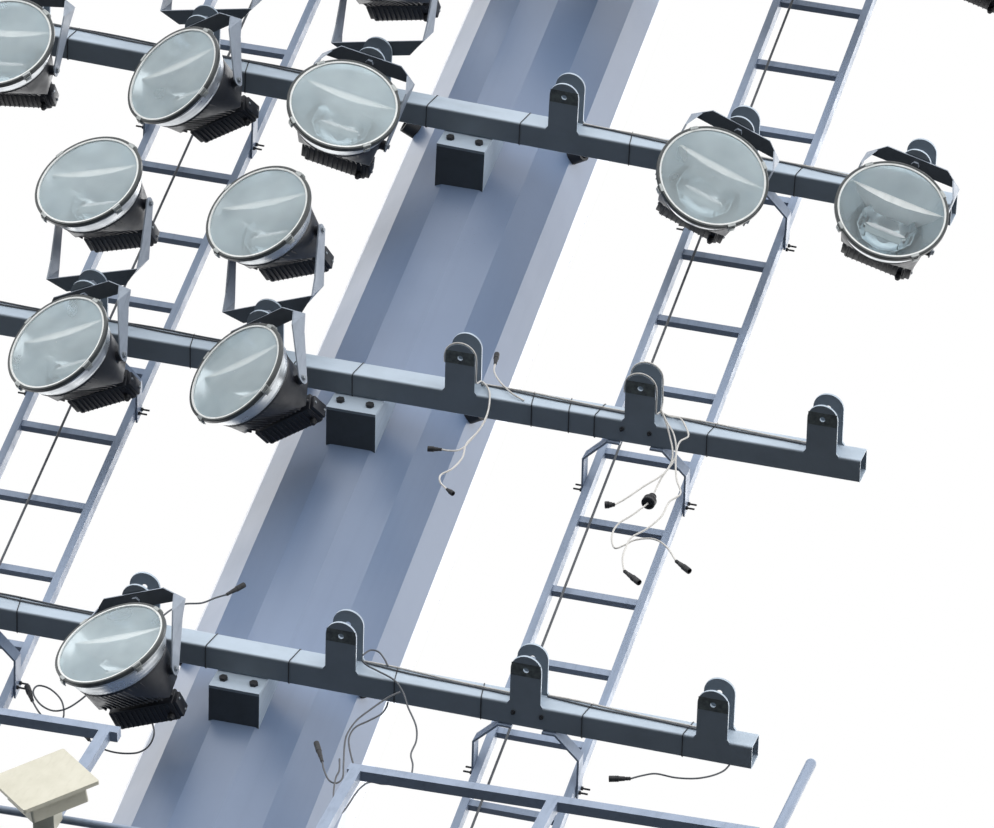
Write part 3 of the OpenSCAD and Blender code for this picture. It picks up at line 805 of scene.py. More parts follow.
MAST_PAINT = Weathered("mast paint", "#6c809f", "#586a88", "#4b4a4e", roughness=0.34, coat=0.7,
                       streak_amount=0.14, streak_width=0.07, streak_length=3.2, blotch_amount=0.3,
                       blotch_size=0.7)
# The crossarm, ladder and yoke paints darken faces that point down as painted shade.
ARM_PAINT = Weathered("crossarm paint", "#b4c3d2", "#94a1ad", "#4c4a48", roughness=0.42,
                      painted_underside_shade_amount=0.68, streak_amount=0.25, streak_width=0.25, streak_length=0.06,
                      blotch_size=0.15, speck_size=0.012)
LADDER_PAINT = Weathered("ladder paint", "#8e9db4", "#6a788c", "#403d3c", roughness=0.4, painted_underside_shade_amount=0.4,
                         streak_amount=0.3, blotch_size=0.12, speck_size=0.01)
# Own copy of the steel paint for the stub brackets, with the strongest painted shade on their undersides,
# where they sit deep in shade by the mast.
STUB_SHADE_PAINT = Weathered("stub paint", "#a3b3c4", "#7d8a98", "#4c4a48", roughness=0.5, painted_underside_shade="#15191d",
                       painted_underside_shade_amount=0.9, blotch_size=0.12)
YOKE_PAINT = Weathered("yoke paint", "#949eac", "#69727f", "#3c3e44", roughness=0.4, painted_underside_shade_amount=0.85,
                       blotch_size=0.08, speck_size=0.008, speck_amount=0.25)
HOUSING_COAT = Weathered("housing coat", "#1b1e26", "#292d35", "#4a4d52", roughness=0.46, blotch_size=0.06,
                         speck_size=0.006, speck_amount=0.2)
SPUN_METAL = Weathered("spun reflector metal", "#c9cdd0", "#8f9498", "#6d7072", roughness=0.3, metallic=0.85,
                       streak_amount=0.12, blotch_amount=0.3, blotch_size=0.09, speck_amount=0.1, bump=0.02)
ZINC = Weathered("dull zinc", "#9aa1a8", "#6e757b", "#5b4a3c", roughness=0.42, metallic=0.8, blotch_size=0.05,
                 speck_size=0.006)
BLACK_FITTING = Weathered("black fitting", "#1c1e22", "#2b2d31", "#46484c", roughness=0.55, blotch_size=0.03,
                          speck_size=0.004, speck_amount=0.15)
SHELL = Weathered("aerial shell", "#cfccbc", "#aba895", "#8e8b7d", roughness=0.5, streak_amount=0.18,
                  blotch_size=0.1, speck_size=0.01, speck_amount=0.2)
GRATING = Weathered("zinc grating", "#8d959b", "#666d72", "#5a4b40", roughness=0.5, metallic=0.7,
                    blotch_size=0.3)
# Colour of the white leads, also used for the strands that paint a highlight on the lit rims of ears.
WHITE_LEAD_AND_RIM_HIGHLIGHT = Weathered("white lead", "#cfcdc9", "#8d8b88", "#6a6866", roughness=0.55, blotch_size=0.06,
                       speck_size=0.005)
GREY_LEAD = Weathered("grey lead", "#54585e", "#35383d", "#7a7d80", roughness=0.55, blotch_size=0.06)
# Dark paint for the bands of painted shade under empty clevises.
EAR_SHADE_PAINT = Weathered("worn paint", "#5a615f", "#34393b", "#2a2b2c", roughness=0.5, blotch_amount=0.9,
                       blotch_size=0.02, streak_amount=0.4)
RIM_COAT = Weathered("rim coat", "#3a3e40", "#5b5f5e", "#7d817f", roughness=0.34, metallic=0.3,
                     blotch_size=0.05, speck_size=0.006, speck_amount=0.2)
# Pale paint of the rim's seal, also used for the white strips that paint a highlight on the glare hood.
PALE_SEAL_AND_HOOD_HIGHLIGHT = Weathered("pale seal", "#eef1f0", "#b5bab8", "#6f7371", roughness=0.4, blotch_size=0.05)
CLIP_METAL = Weathered("clip metal", "#a3a8a8", "#5d6060", "#5a4c3e", roughness=0.34, metallic=0.6,
                       blotch_size=0.02, speck_size=0.004)
MIRROR_METAL = Inner("polished reflector", "#e6f1f5", 0.2, 0.85)
HOOD_METAL = Inner("glare hood", "#f6f8f8", 0.45, 0.15)
HOLDER_METAL = Inner("lamp bracket", "#7f8c8f", 0.4, 0.5)
LAMP_QUARTZ = Inner("lamp quartz", "#f4f6f6", 0.2, 0.0)
LAMP_BLACK = Inner("lamp holder", "#3b3f44", 0.5, 0.0)
CLEAR_GLASS = DustAndReflectionGlass()
THIN_VEIL_GLASS = DustAndReflectionGlass("wiped front glass", veil=0.16)


@dataclass
class FloodlightHead:
    """A floodlight head, modelled round its trunnion and aimed along -Y."""

    rim_radius: float = 0.2265
    rim_front: float = 0.1752
    rim_back: float = 0.158
    rim_inner: float = 0.2150
    rim_faces: int = 80
    glass_radius: float = 0.2085
    glass_front: float = 0.1705
    bowl_back: float = 0.084
    bowl_faces: int = 72
    bowl_wall: float = 0.0025
    bowl_rings: int = 14
    beaded_rings: tuple[int, int] = (3, 11)
    bead: float = 0.0014
    mirror_faces: int = 56
    mirror_wall: float = 0.0015
    fan_faces: int = 10
    hood_wall: float = 0.0015
    hood_tip: float = -8.0
    apron_wall: float = 0.0012
    bow_half: float = 0.100
    bow_drop: float = 0.030
    bow_radius: float = 0.0028
    housing_radius: float = 0.186
    housing_front: float = 0.088
    housing_rear: float = -0.086
    housing_width: float = 0.302
    housing_height: float = 0.116
    housing_faces: int = 64
    tray_width: float = 0.291
    tray_front: float = 0.128
    tray_rear: float = 0.2156
    tray_low: float = -0.032
    tray_high: float = 0.047
    tray_ribs: int = 12
    rib_inset: float = 0.033
    standoffs: tuple[float, ...] = (-0.117, -0.039, 0.039, 0.117)
    gland_place: tuple[float, float] = (0.104, 0.188)
    arm_face: float = 0.1984
    fin_pitch: float = 0.020
    fin_thickness: float = 0.004
    fins_each_way: int = 6
    clip_count: int = 4
    parts: list[Piece] = field(default_factory=list)

    def add(self, obj: Piece, finish: Finish) -> None:
        """Dresses a part and keeps it for the head."""
        self.parts.append(Bench.dressed(obj, finish))

    def bowl_radius(self, station: float) -> float:
        """Gives the spun bowl's radius at a distance ahead of the trunnion."""
        share = (self.rim_back - station) / (self.rim_back - self.bowl_back)
        return self.rim_radius - 0.0125 - 0.026 * share ** 1.6

    def mirror_outline(self, grow: float) -> Outline:
        """Gives the outline of the mirror inside the bowl, grown by a distance.

        Args:
            grow: The distance, in metres.

        Returns:
            Pairs of radius and distance ahead of the trunnion.
        """
        outline = [(0.002, -0.036), (0.045, -0.034), (0.080, -0.020), (0.108, 0.010),
                   (0.140, 0.052), (0.176, 0.094), (0.198, 0.136), (0.2105, 0.162)]
        return [(radius + grow, station - grow) for radius, station in outline]

    def bowl(self) -> None:
        """Models the spun reflector bowl with its beads, the mirror inside it and the fan behind the lamp."""
        step = (self.rim_back - self.bowl_back) / self.bowl_rings
        outline = []
        for index in range(self.bowl_rings + 1):
            station = self.bowl_back + index * step
            bead = self.bead if index in self.beaded_rings else 0.0
            outline.append((self.bowl_radius(station) + bead, station))
        lip = self.rim_radius - 0.004
        outline += [(lip, self.rim_back - 0.0015), (lip, self.rim_back + 0.001)]
        shell = Bench.turned("bowl", outline, self.bowl_faces, Way.AHEAD, filled=False)
        self.add(Bench.thickened(shell, self.bowl_wall), SPUN_METAL)
        fan = [(0.030, -0.028), (0.066, -0.016), (0.092, 0.012), (0.118, 0.052)]
        for name, profile, faces in (("mirror", self.mirror_outline(0.0), self.mirror_faces),
                                     ("fan", fan, self.fan_faces)):
            sheet = Bench.turned(name, profile, faces, Way.AHEAD, filled=False)
            self.add(Bench.facing_in(sheet, self.mirror_wall), MIRROR_METAL)

    def front(self) -> None:
        """Models the rim, the pale ring of its seal and the front glass."""
        outer, inner, low, high = self.rim_radius, self.rim_inner, self.rim_back, self.rim_front
        ring = [(inner, low), (outer - 0.001, low), (outer, low + 0.001), (outer, high - 0.003),
                (outer - 0.003, high), (inner + 0.001, high), (inner, high - 0.001), (inner, low)]
        self.add(Bench.turned("rim", ring, self.rim_faces, Way.AHEAD, filled=False), RIM_COAT)
        step, under, over = high - 0.0014, self.glass_radius - 0.0005, inner + 0.0005
        seal = [(under, step - 0.006), (under, step), (over, step + 0.0006), (over, step - 0.006),
                (under, step - 0.006)]
        self.add(Bench.turned("seal", seal, self.rim_faces, Way.AHEAD, filled=False), PALE_SEAL_AND_HOOD_HIGHLIGHT)
        crown = [(0.190, 0.0012), (0.130, 0.0032), (0.060, 0.0044), (0.001, 0.0048)]
        glass = [(radius, self.glass_front + rise) for radius, rise in [(self.glass_radius, -0.001), *crown]]
        self.add(Bench.turned("glass", glass, self.bowl_faces, Way.AHEAD, filled=False), CLEAR_GLASS)

    def inside(self) -> None:
        """Models the glare hood, white strips on its front edge that paint its highlight and reflection, the
        lamp and its holders behind the glass.
        """
        sheet = [(-0.150, -0.020), (0.150, -0.020), (0.196, -0.142), (-0.196, -0.142)]
        hood = Bench.plate("hood", sheet, self.hood_wall)
        hood.data.transform(Matrix.Translation((0, 0, 0.058)) @ spun(self.hood_tip, "X"))
        self.add(hood, HOOD_METAL)
        # Painted highlight: a white strip along the hood's front edge and a white band under it, deepest in
        # the middle, stand for the bright line and reflection on the hood.
        lip = Bench.block("hood lip", (0.384, 0.0020, 0.0045), (0, -0.1420, 0.0790), 0.0005, 1)
        self.add(lip, PALE_SEAL_AND_HOOD_HIGHLIGHT)
        edge = [(-0.186, 0.0), (-0.120, -0.016), (-0.040, -0.027)]
        edge += [(-across, drop) for across, drop in reversed(edge)]
        highlight_band = Bench.plate("hood apron", edge, self.apron_wall)
        highlight_band.data.transform(Matrix.Translation((0, -0.1405, 0.0775)) @ spun(90, "X"))
        self.add(highlight_band, PALE_SEAL_AND_HOOD_HIGHLIGHT)
        bow = []
        for degrees in range(-170, -9, 16):
            angle = math.radians(degrees)
            level = self.bow_drop * math.sin(angle) - 0.012
            bow.append(Vector((self.bow_half * math.cos(angle), -0.060, level)))
        self.add(Bench.strand("lamp bow", bow, self.bow_radius, 2), HOLDER_METAL)
        rod_outline = [(0.0025, 0.0), (0.0025, 0.075)]
        for side in (-1, 1):
            hook = Bench.block("lamp hook", (0.010, 0.014, 0.052), (side * 0.084, -0.030, -0.004), 0.003, 1)
            self.add(hook, LAMP_BLACK)
            rod = Bench.turned("lamp rod", rod_outline, 8, Way.AHEAD, (side * 0.070, 0.020, -0.058))
            self.add(rod, HOLDER_METAL)
        lamp_half = [(0.0145, 0.050), (0.011, 0.074), (0.004, 0.088)]
        lamp = [(radius, -along) for radius, along in reversed(lamp_half)] + lamp_half
        self.add(Bench.turned("lamp", lamp, 24, Way.RIGHT, (0, -0.042, -0.020)), LAMP_QUARTZ)
        screen = Bench.block("lamp screen", (0.150, 0.0015, 0.030), (0, -0.064, -0.052), 0.0006, 1)
        self.add(screen, HOLDER_METAL)

    def housing(self) -> None:
        """Models the cast housing, round where it holds the bowl and a flat box behind, with its fins."""
        radius, front = self.housing_radius, self.housing_front
        flat = [(radius, front - 0.008), (radius, front)]
        ring = Bench.turned("housing", flat, self.housing_faces, Way.AHEAD)
        rear = Bench.block("housing rear", (self.housing_width, 0.010, self.housing_height),
                           (0, -self.housing_rear - 0.005, 0))
        body = Bench.joined("housing", [ring, rear])
        Bench.open_up()
        bpy.ops.mesh.convex_hull()
        Bench.shut()
        edge = body.modifiers.new("edges", "BEVEL")
        edge.width = 0.005
        edge.segments = 2
        edge.limit_method = "ANGLE"
        edge.angle_limit = math.radians(34)
        Bench.applied(body)
        room = Bench.turned("room", self.mirror_outline(0.003), self.mirror_faces, Way.AHEAD)
        self.add(Bench.cut(body, room, keep_inside=False), HOUSING_COAT)
        bpy.data.objects.remove(room)
        lip = [(radius - 0.004, 0.072), (radius + 0.003, 0.076), (radius + 0.003, 0.089),
               (radius + 0.001, 0.092), (radius - 0.002, 0.092)]
        self.add(Bench.turned("housing lip", lip, self.housing_faces, Way.AHEAD, filled=False), HOUSING_COAT)
        low = self.housing_height / 2
        for index in range(-self.fins_each_way, self.fins_each_way + 1):
            across = index * self.fin_pitch
            reach = math.sqrt(radius ** 2 - across ** 2)
            for side in (-1, 1):
                outline = [(-0.080, side * (reach + 0.004)), (0.086, side * (low + 0.010)),
                           (0.086, side * (low - 0.006)), (-0.080, side * (reach - 0.016))]
                fin = Bench.plate("fin", outline, self.fin_thickness)
                place = Matrix.Translation((across - self.fin_thickness / 2, 0, 0))
                fin.data.transform(place @ Way.SIDEWAYS.value)
                self.add(fin, HOUSING_COAT)

    def tray(self) -> None:
        """Models the control-gear tray on its standoffs, with ribs, stepped ends, screws and gland."""
        middle_y = (self.tray_front + self.tray_rear) / 2
        middle_z = (self.tray_low + self.tray_high) / 2
        depth = self.tray_rear - self.tray_front
        height = self.tray_high - self.tray_low
        half = self.tray_width / 2
        size = (self.tray_width - 0.034, depth, height)
        self.add(Bench.block("tray", size, (0, middle_y, middle_z), 0.004, 2), HOUSING_COAT)
        screw = [(0.0055, 0), (0.0055, 0.003), (0.0040, 0.0042)]
        for side in (-1, 1):
            end = Bench.block("tray end", (0.022, depth - 0.012, height - 0.018),
                              (side * (half - 0.011), middle_y, middle_z - 0.004), 0.004, 2)
            self.add(end, HOUSING_COAT)
            flange = Bench.block("tray flange", (0.004, depth - 0.002, height + 0.004),
                                 (side * (half - 0.026), middle_y, middle_z), 0.0012, 1)
            self.add(flange, HOUSING_COAT)
            for lift in (-0.028, 0.028):
                place = (side * half, middle_y + lift, middle_z - 0.004)
                self.add(Bench.turned("tray screw", screw, 12, Way.sideways(side), place), ZINC)
        span = self.tray_width - 2 * self.rib_inset
        rib = Bench.block("rib", (0.0045, depth - 0.010, height + 0.008),
                          (-span / 2, middle_y + 0.003, middle_z), 0.0015, 1)
        self.add(Bench.repeated(rib, self.tray_ribs, (span / (self.tray_ribs - 1), 0, 0)), HOUSING_COAT)
        post = [(0.009, -0.130), (0.009, -0.122), (0.0065, -0.118), (0.0065, -0.096), (0.011, -0.088),
                (0.011, -0.084)]
        for across in self.standoffs:
            self.add(Bench.turned("standoff", post, 20, Way.AHEAD, (across, 0, 0.008)), HOUSING_COAT)
        gland = [(0.012, 0.0), (0.012, -0.009), (0.0135, -0.010), (0.0135, -0.017), (0.0105, -0.020),
                 (0.0085, -0.026)]
        self.add(Bench.turned("gland", gland, 12, Way.UP, (*self.gland_place, self.tray_low)), BLACK_FITTING)

    def trunnions(self) -> None:
        """Models the bosses that the yoke's arms hold, with their bolts and washers."""
        face = self.arm_face
        boss = [(0.034, 0.130), (0.034, 0.160), (0.026, 0.166), (0.020, 0.172), (0.020, 0.1905)]
        washer = [(0.013, face), (0.013, face + 0.0022)]
        bolt = [(0.0098, face + 0.0022), (0.0098, face + 0.0085), (0.0088, face + 0.0095)]
        for side in (-1, 1):
            way = Way.sideways(side)
            self.add(Bench.turned("boss", boss, 32, way), HOUSING_COAT)
            self.add(Bench.turned("pivot washer", washer, 28, way), ZINC)
            self.add(Bench.turned("pivot bolt", bolt, 6, way), ZINC)

    def clips(self) -> None:
        """Models the toggle clips round the rim."""
        plate = Bench.block("clip plate", (0.034, 0.022, 0.0022), (0, -0.163, 0.0006), 0.0008, 1)
        hook = Bench.block("clip hook", (0.034, 0.0025, 0.0130), (0, -0.1757, -0.0058), 0.0010, 1)
        wires = [Bench.block("clip wire", (0.0028, 0.030, 0.0030), (across, -0.1570, 0.0026), 0.0010, 1)
                 for across in (-0.0115, 0.0115)]
        lever = Bench.block("clip lever", (0.024, 0.018, 0.0050), (0, -0.1560, 0.0050), 0.0018, 2)
        clip = Bench.joined("clip", [plate, hook, lever, *wires])
        for quarter in range(self.clip_count):
            angle = math.radians(45 + 90 * quarter)
            out = Vector((math.sin(angle), 0, math.cos(angle)))
            place = Matrix.Translation(out * self.rim_radius) @ Matrix.Rotation(angle, 4, "Y")
            self.add(Bench.copy(clip, f"clip {quarter}", place), CLIP_METAL)
        bpy.data.objects.remove(clip)

    def build(self) -> Piece:
        """Models the whole head once.

        Returns:
            One object with the head's materials, round the trunnion at the origin.
        """
        self.housing()
        self.bowl()
        self.front()
        self.inside()
        self.tray()
        self.trunnions()
        self.clips()
        return Bench.joined("floodlight head", self.parts, 30)


@dataclass(frozen=True)
class Aim:
    """Where a floodlight head hangs, where it looks and which plain head it stands for."""

    name: str
    node: str
    body: str
    trunnion: Vector
    pan: float
    tilt: float

    def matrix(self) -> Matrix:
        """Gives the head's place and turn."""
        return Matrix.Translation(self.trunnion) @ spun(self.pan, "Z") @ spun(self.tilt, "X")


def working_aims(joints: list[dict]) -> list[Aim]:
    """Reads each working light's trunnion, pan and tilt from the frame's joints.

    Args:
        joints: The frame's joints.

    Returns:
        One aim for each light that pans and tilts.
    """
    aims = []
    for joint in joints:
        kind, _, name = joint["name"].partition("_")
        if kind == "tilt":
            axis = joint["axis"]
            pan = math.degrees(math.atan2(axis[1], axis[0]))
            place = Vector(joint["pos_m"])
            aims.append(Aim(name, f"head_{name}", joint["child"], place, pan, -joint["range_deg"][0]))
    return aims


@dataclass
class TopRow:
    """The clamped lights of the top crossarm."""

    pans: tuple[float, ...] = (-26, -18, -9, -4, 9, 16)
    tilts: tuple[float, ...] = (31, 29, 27, 27, 26, 24)
    sweep: float = 0.175
    drop: float = 0.287

    def aims(self) -> list[Aim]:
        """Gives one aim for each light of the row.

        Returns:
            The aims, from the left.
        """
        found = []
        for column, (pan, tilt) in enumerate(zip(self.pans, self.tilts)):
            pin = crossarm_middle(0) + Vector((clevis_across(0, column), PIN_PLACE, -ARM_SIDE / 2))
            back = spun(pan, "Z") @ Vector((0, self.sweep, -self.drop))
            found.append(Aim(f"1_{column + 1}_low", "heads_top_row", TOWER, pin + back, pan, tilt))
        return found


@dataclass
class Heads:
    """All floodlight heads, copied from one model."""

    aims: list[Aim]
    thin_veiled: str = "2_6_low"

    def thin_the_veil(self, head: Piece) -> None:
        """Gives a head's glass a thinner veil of dust and painted reflection.

        Args:
            head: The head.
        """
        for slot in head.material_slots:
            if slot.material.name == CLEAR_GLASS.name:
                slot.material = THIN_VEIL_GLASS.build()

    def build(self) -> None:
        """Copies the head to each light and puts it in the place of the frame's plain head."""
        pattern = FloodlightHead().build()
        for aim in self.aims:
            head = Bench.copy(pattern, f"floodlight_{aim.name}", aim.matrix())
            if aim.name == self.thin_veiled:
                self.thin_the_veil(head)
            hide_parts(aim.node)
            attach(head, aim.body)
        bpy.data.objects.remove(pattern)
        LOG.info("floodlight heads: %d", len(self.aims))


def metres(point: Point) -> Vector:
    """Turns a point that is told in millimetres into metres."""
    return Vector([value / MILLIMETRE for value in point])


class FarEnd(Enum):
    PLUG = "plug"
    CONNECTOR = "connector"
    BARE = "bare"
    OBJECT = "object"


@dataclass(frozen=True)
class Plug:
    """A plug on a lead's end, told in millimetres by its width and by where it ends."""

    width: int
    end: Point

    def build(self, name: str, row: int, start: Vector) -> Piece:
        """Models the plug's strain relief, body, grip ring and open face.

        Args:
            name: Name of the plug.
            row: Its crossarm, counted from the top as 0.
            start: Where it starts, from the plumb middle of its crossarm, in metres.

        Returns:
            The plug, in its place.
        """
        way = metres(self.end) - start
        outside = [(0.24, 0.0), (0.30, 0.04), (0.30, 0.09), (0.25, 0.11), (0.31, 0.15), (0.31, 0.20),
                   (0.26, 0.22), (0.36, 0.28), (0.41, 0.50), (0.42, 0.54), (0.50, 0.56), (0.50, 0.62),
                   (0.47, 0.64), (0.50, 0.66), (0.50, 0.72), (0.47, 0.74), (0.50, 0.76), (0.50, 0.97)]
        face = [(0.48, 1.0), (0.37, 1.0), (0.36, 0.86)]
        width = self.width / MILLIMETRE
        outline = [(width * out, way.length * along + 0.0003) for out, along in outside]
        outline += [(width * out, way.length * along) for out, along in face]
        plug = Bench.turned(name, outline, 28)
        turn = way.to_track_quat("Z", "Y").to_matrix().to_4x4()
        plug.data.transform(Matrix.Translation(crossarm_middle(row) + start) @ turn)
        Bench.joined(name, [Bench.dressed(plug, BLACK_FITTING)], 30)
        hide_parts("lead_plugs")
        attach(plug, TOWER)
        return plug


@dataclass(frozen=True)
class Lead:
    """A lead that hangs free, with its route in millimetres from the plumb middle of its crossarm."""

    row: int
    far_end: FarEnd
    route: tuple[Point, ...]
    plug: Plug | None = None

    def build(self, name: str) -> None:
        """Models the lead as a curve of its real length, and the plug on it.

        Args:
            name: Name of the lead, which its plug's name starts with.
        """
        middle = crossarm_middle(self.row)
        points = [metres(point) for point in self.route]
        path = smooth_route([middle + point for point in points])
        lead = Bench.line(name, path, LEAD_WIDTH / 2, 3)
        lead.data.materials.append((WHITE_LEAD_AND_RIM_HIGHLIGHT if self.row == WHITE_ROW else GREY_LEAD).build())
        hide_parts(f"leads_crossarm_{self.row + 1}")
        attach(lead, TOWER)
        held = [self.plug.build(f"{name}_plug", self.row, points[-1])] if self.plug else []


LEADS = (
    Lead(2, FarEnd.PLUG, (
        (472, -72, 22), (500, -70, 0), (535, -74, -70), (566, -76, -200), (574, -78, -340),
        (558, -80, -455), (574, -82, -560), (562, -84, -655), (534, -84, -712), (548, -84, -764),
        (585, -84, -803)), Plug(20, (618, -84, -828))),
    Lead(2, FarEnd.PLUG, (
        (474, -60, 28), (505, -58, 5), (530, -58, -51), (556, -58, -161), (566, -58, -252),
        (556, -60, -397), (540, -64, -480), (505, -70, -510), (478, -72, -514)), Plug(22, (424, -72, -526))),
    Lead(2, FarEnd.PLUG, (
        (664, -54, -36), (608, -60, -10), (545, -66, 45), (500, -70, 108), (486, -70, 165)),
        Plug(22, (470, -70, 243))),
    Lead(2, FarEnd.CONNECTOR, (
        (1196, -72, 22), (1230, -62, -28), (1269, -60, -113), (1314, -62, -227), (1334, -64, -323),
        (1330, -66, -454), (1336, -70, -585)), Plug(54, (1334, -72, -645))),
    Lead(2, FarEnd.PLUG, (
        (1334, -72, -645), (1304, -76, -745), (1268, -76, -835), (1272, -76, -924), (1305, -78, -1000),
        (1335, -78, -968), (1363, -78, -921), (1424, -78, -893), (1486, -78, -929), (1548, -78, -1016)),
        Plug(24, (1616, -78, -1071))),
    Lead(2, FarEnd.PLUG, (
        (1200, -84, 14), (1240, -76, -50), (1290, -76, -130), (1330, -78, -235), (1346, -80, -320),
        (1334, -82, -440), (1290, -82, -545), (1250, -82, -650), (1222, -82, -708)),
        Plug(28, (1186, -82, -722))),
    Lead(2, FarEnd.PLUG, (
        (1197, -62, 33), (1235, -60, 16), (1277, -60, 14), (1316, -62, -45), (1346, -70, -120),
        (1336, -94, -210), (1352, -96, -319), (1396, -94, -469), (1440, -92, -567), (1416, -92, -641),
        (1417, -94, -752), (1389, -96, -861), (1354, -98, -936), (1352, -98, -1010), (1362, -98, -1094),
        (1392, -98, -1176)), Plug(24, (1468, -98, -1238))),
    Lead(3, FarEnd.BARE, (
        (450, -72, 10), (480, -64, -8), (530, -60, -27), (603, -60, -66), (658, -60, -135),
        (708, -62, -231), (774, -64, -345), (806, -66, -444), (815, -68, -540), (845, -70, -614),
        (858, -72, -695), (826, -74, -753), (778, -76, -776), (733, -78, -780), (714, -82, -827),
        (708, -86, -890), (704, -88, -1000), (692, -90, -1038), (673, -92, -1018), (637, -94, -925),
        (612, -94, -820), (608, -94, -765), (586, -94, -692))),
    Lead(3, FarEnd.BARE, (
        (573, 58, -46), (580, 52, -90), (578, 44, -154), (549, 42, -213), (515, 42, -273), (515, 42, -347),
        (542, 42, -424), (586, 42, -519), (610, 42, -596))),
    Lead(3, FarEnd.PLUG, (
        (652, -70, -152), (617, -66, -200), (581, -66, -297), (555, -66, -381), (549, -66, -469),
        (560, -66, -545), (598, -66, -680), (622, -66, -765), (612, -66, -808), (580, -66, -799),
        (543, -66, -742), (519, -66, -690)), Plug(22, (459, -66, -575))),
    Lead(3, FarEnd.OBJECT, (
        (449, -84, 26), (462, -76, 80), (490, -68, 92), (520, -62, 66), (548, -54, 30))),
    Lead(3, FarEnd.PLUG, (
        (-352, -90, 30), (-338, -80, 110), (-309, -70, 178), (-251, -66, 212), (-213, -66, 263),
        (-180, -66, 298)), Plug(22, (-138, -66, 386))),
    Lead(3, FarEnd.PLUG, (
        (1903, 70, -40), (1896, 60, -100), (1866, 50, -160), (1815, 44, -205), (1745, 42, -225),
        (1670, 42, -222), (1625, 42, -250), (1590, 42, -283)), Plug(24, (1513, 42, -310))),
    Lead(3, FarEnd.PLUG, (
        (-375, 52, -30), (-372, 120, -50), (-362, 200, -80), (-350, 250, -120), (-318, 256, -175),
        (-290, 256, -240), (-281, 254, -320), (-300, 252, -380), (-345, 250, -408), (-400, 250, -413),
        (-455, 250, -398), (-505, 250, -365)), Plug(24, (-566, 250, -294))),
    Lead(3, FarEnd.PLUG, (
        (-560, 47, -30), (-572, 150, -30), (-598, 225, -45), (-622, 250, -90), (-655, 250, -180),
        (-700, 250, -215), (-760, 250, -190), (-815, 252, -120), (-818, 256, -60), (-770, 264, -55),
        (-705, 270, -110), (-665, 276, -200), (-672, 280, -250), (-715, 282, -245), (-770, 282, -190),
        (-815, 282, -130)), Plug(24, (-868, 282, -40))),
)


def hang_leads() -> None:
    """Hangs every free lead from its crossarm."""
    for number, lead in enumerate(LEADS, 1):
        lead.build(f"lead_{number:02d}")
    LOG.info("free leads: %d", len(LEADS))


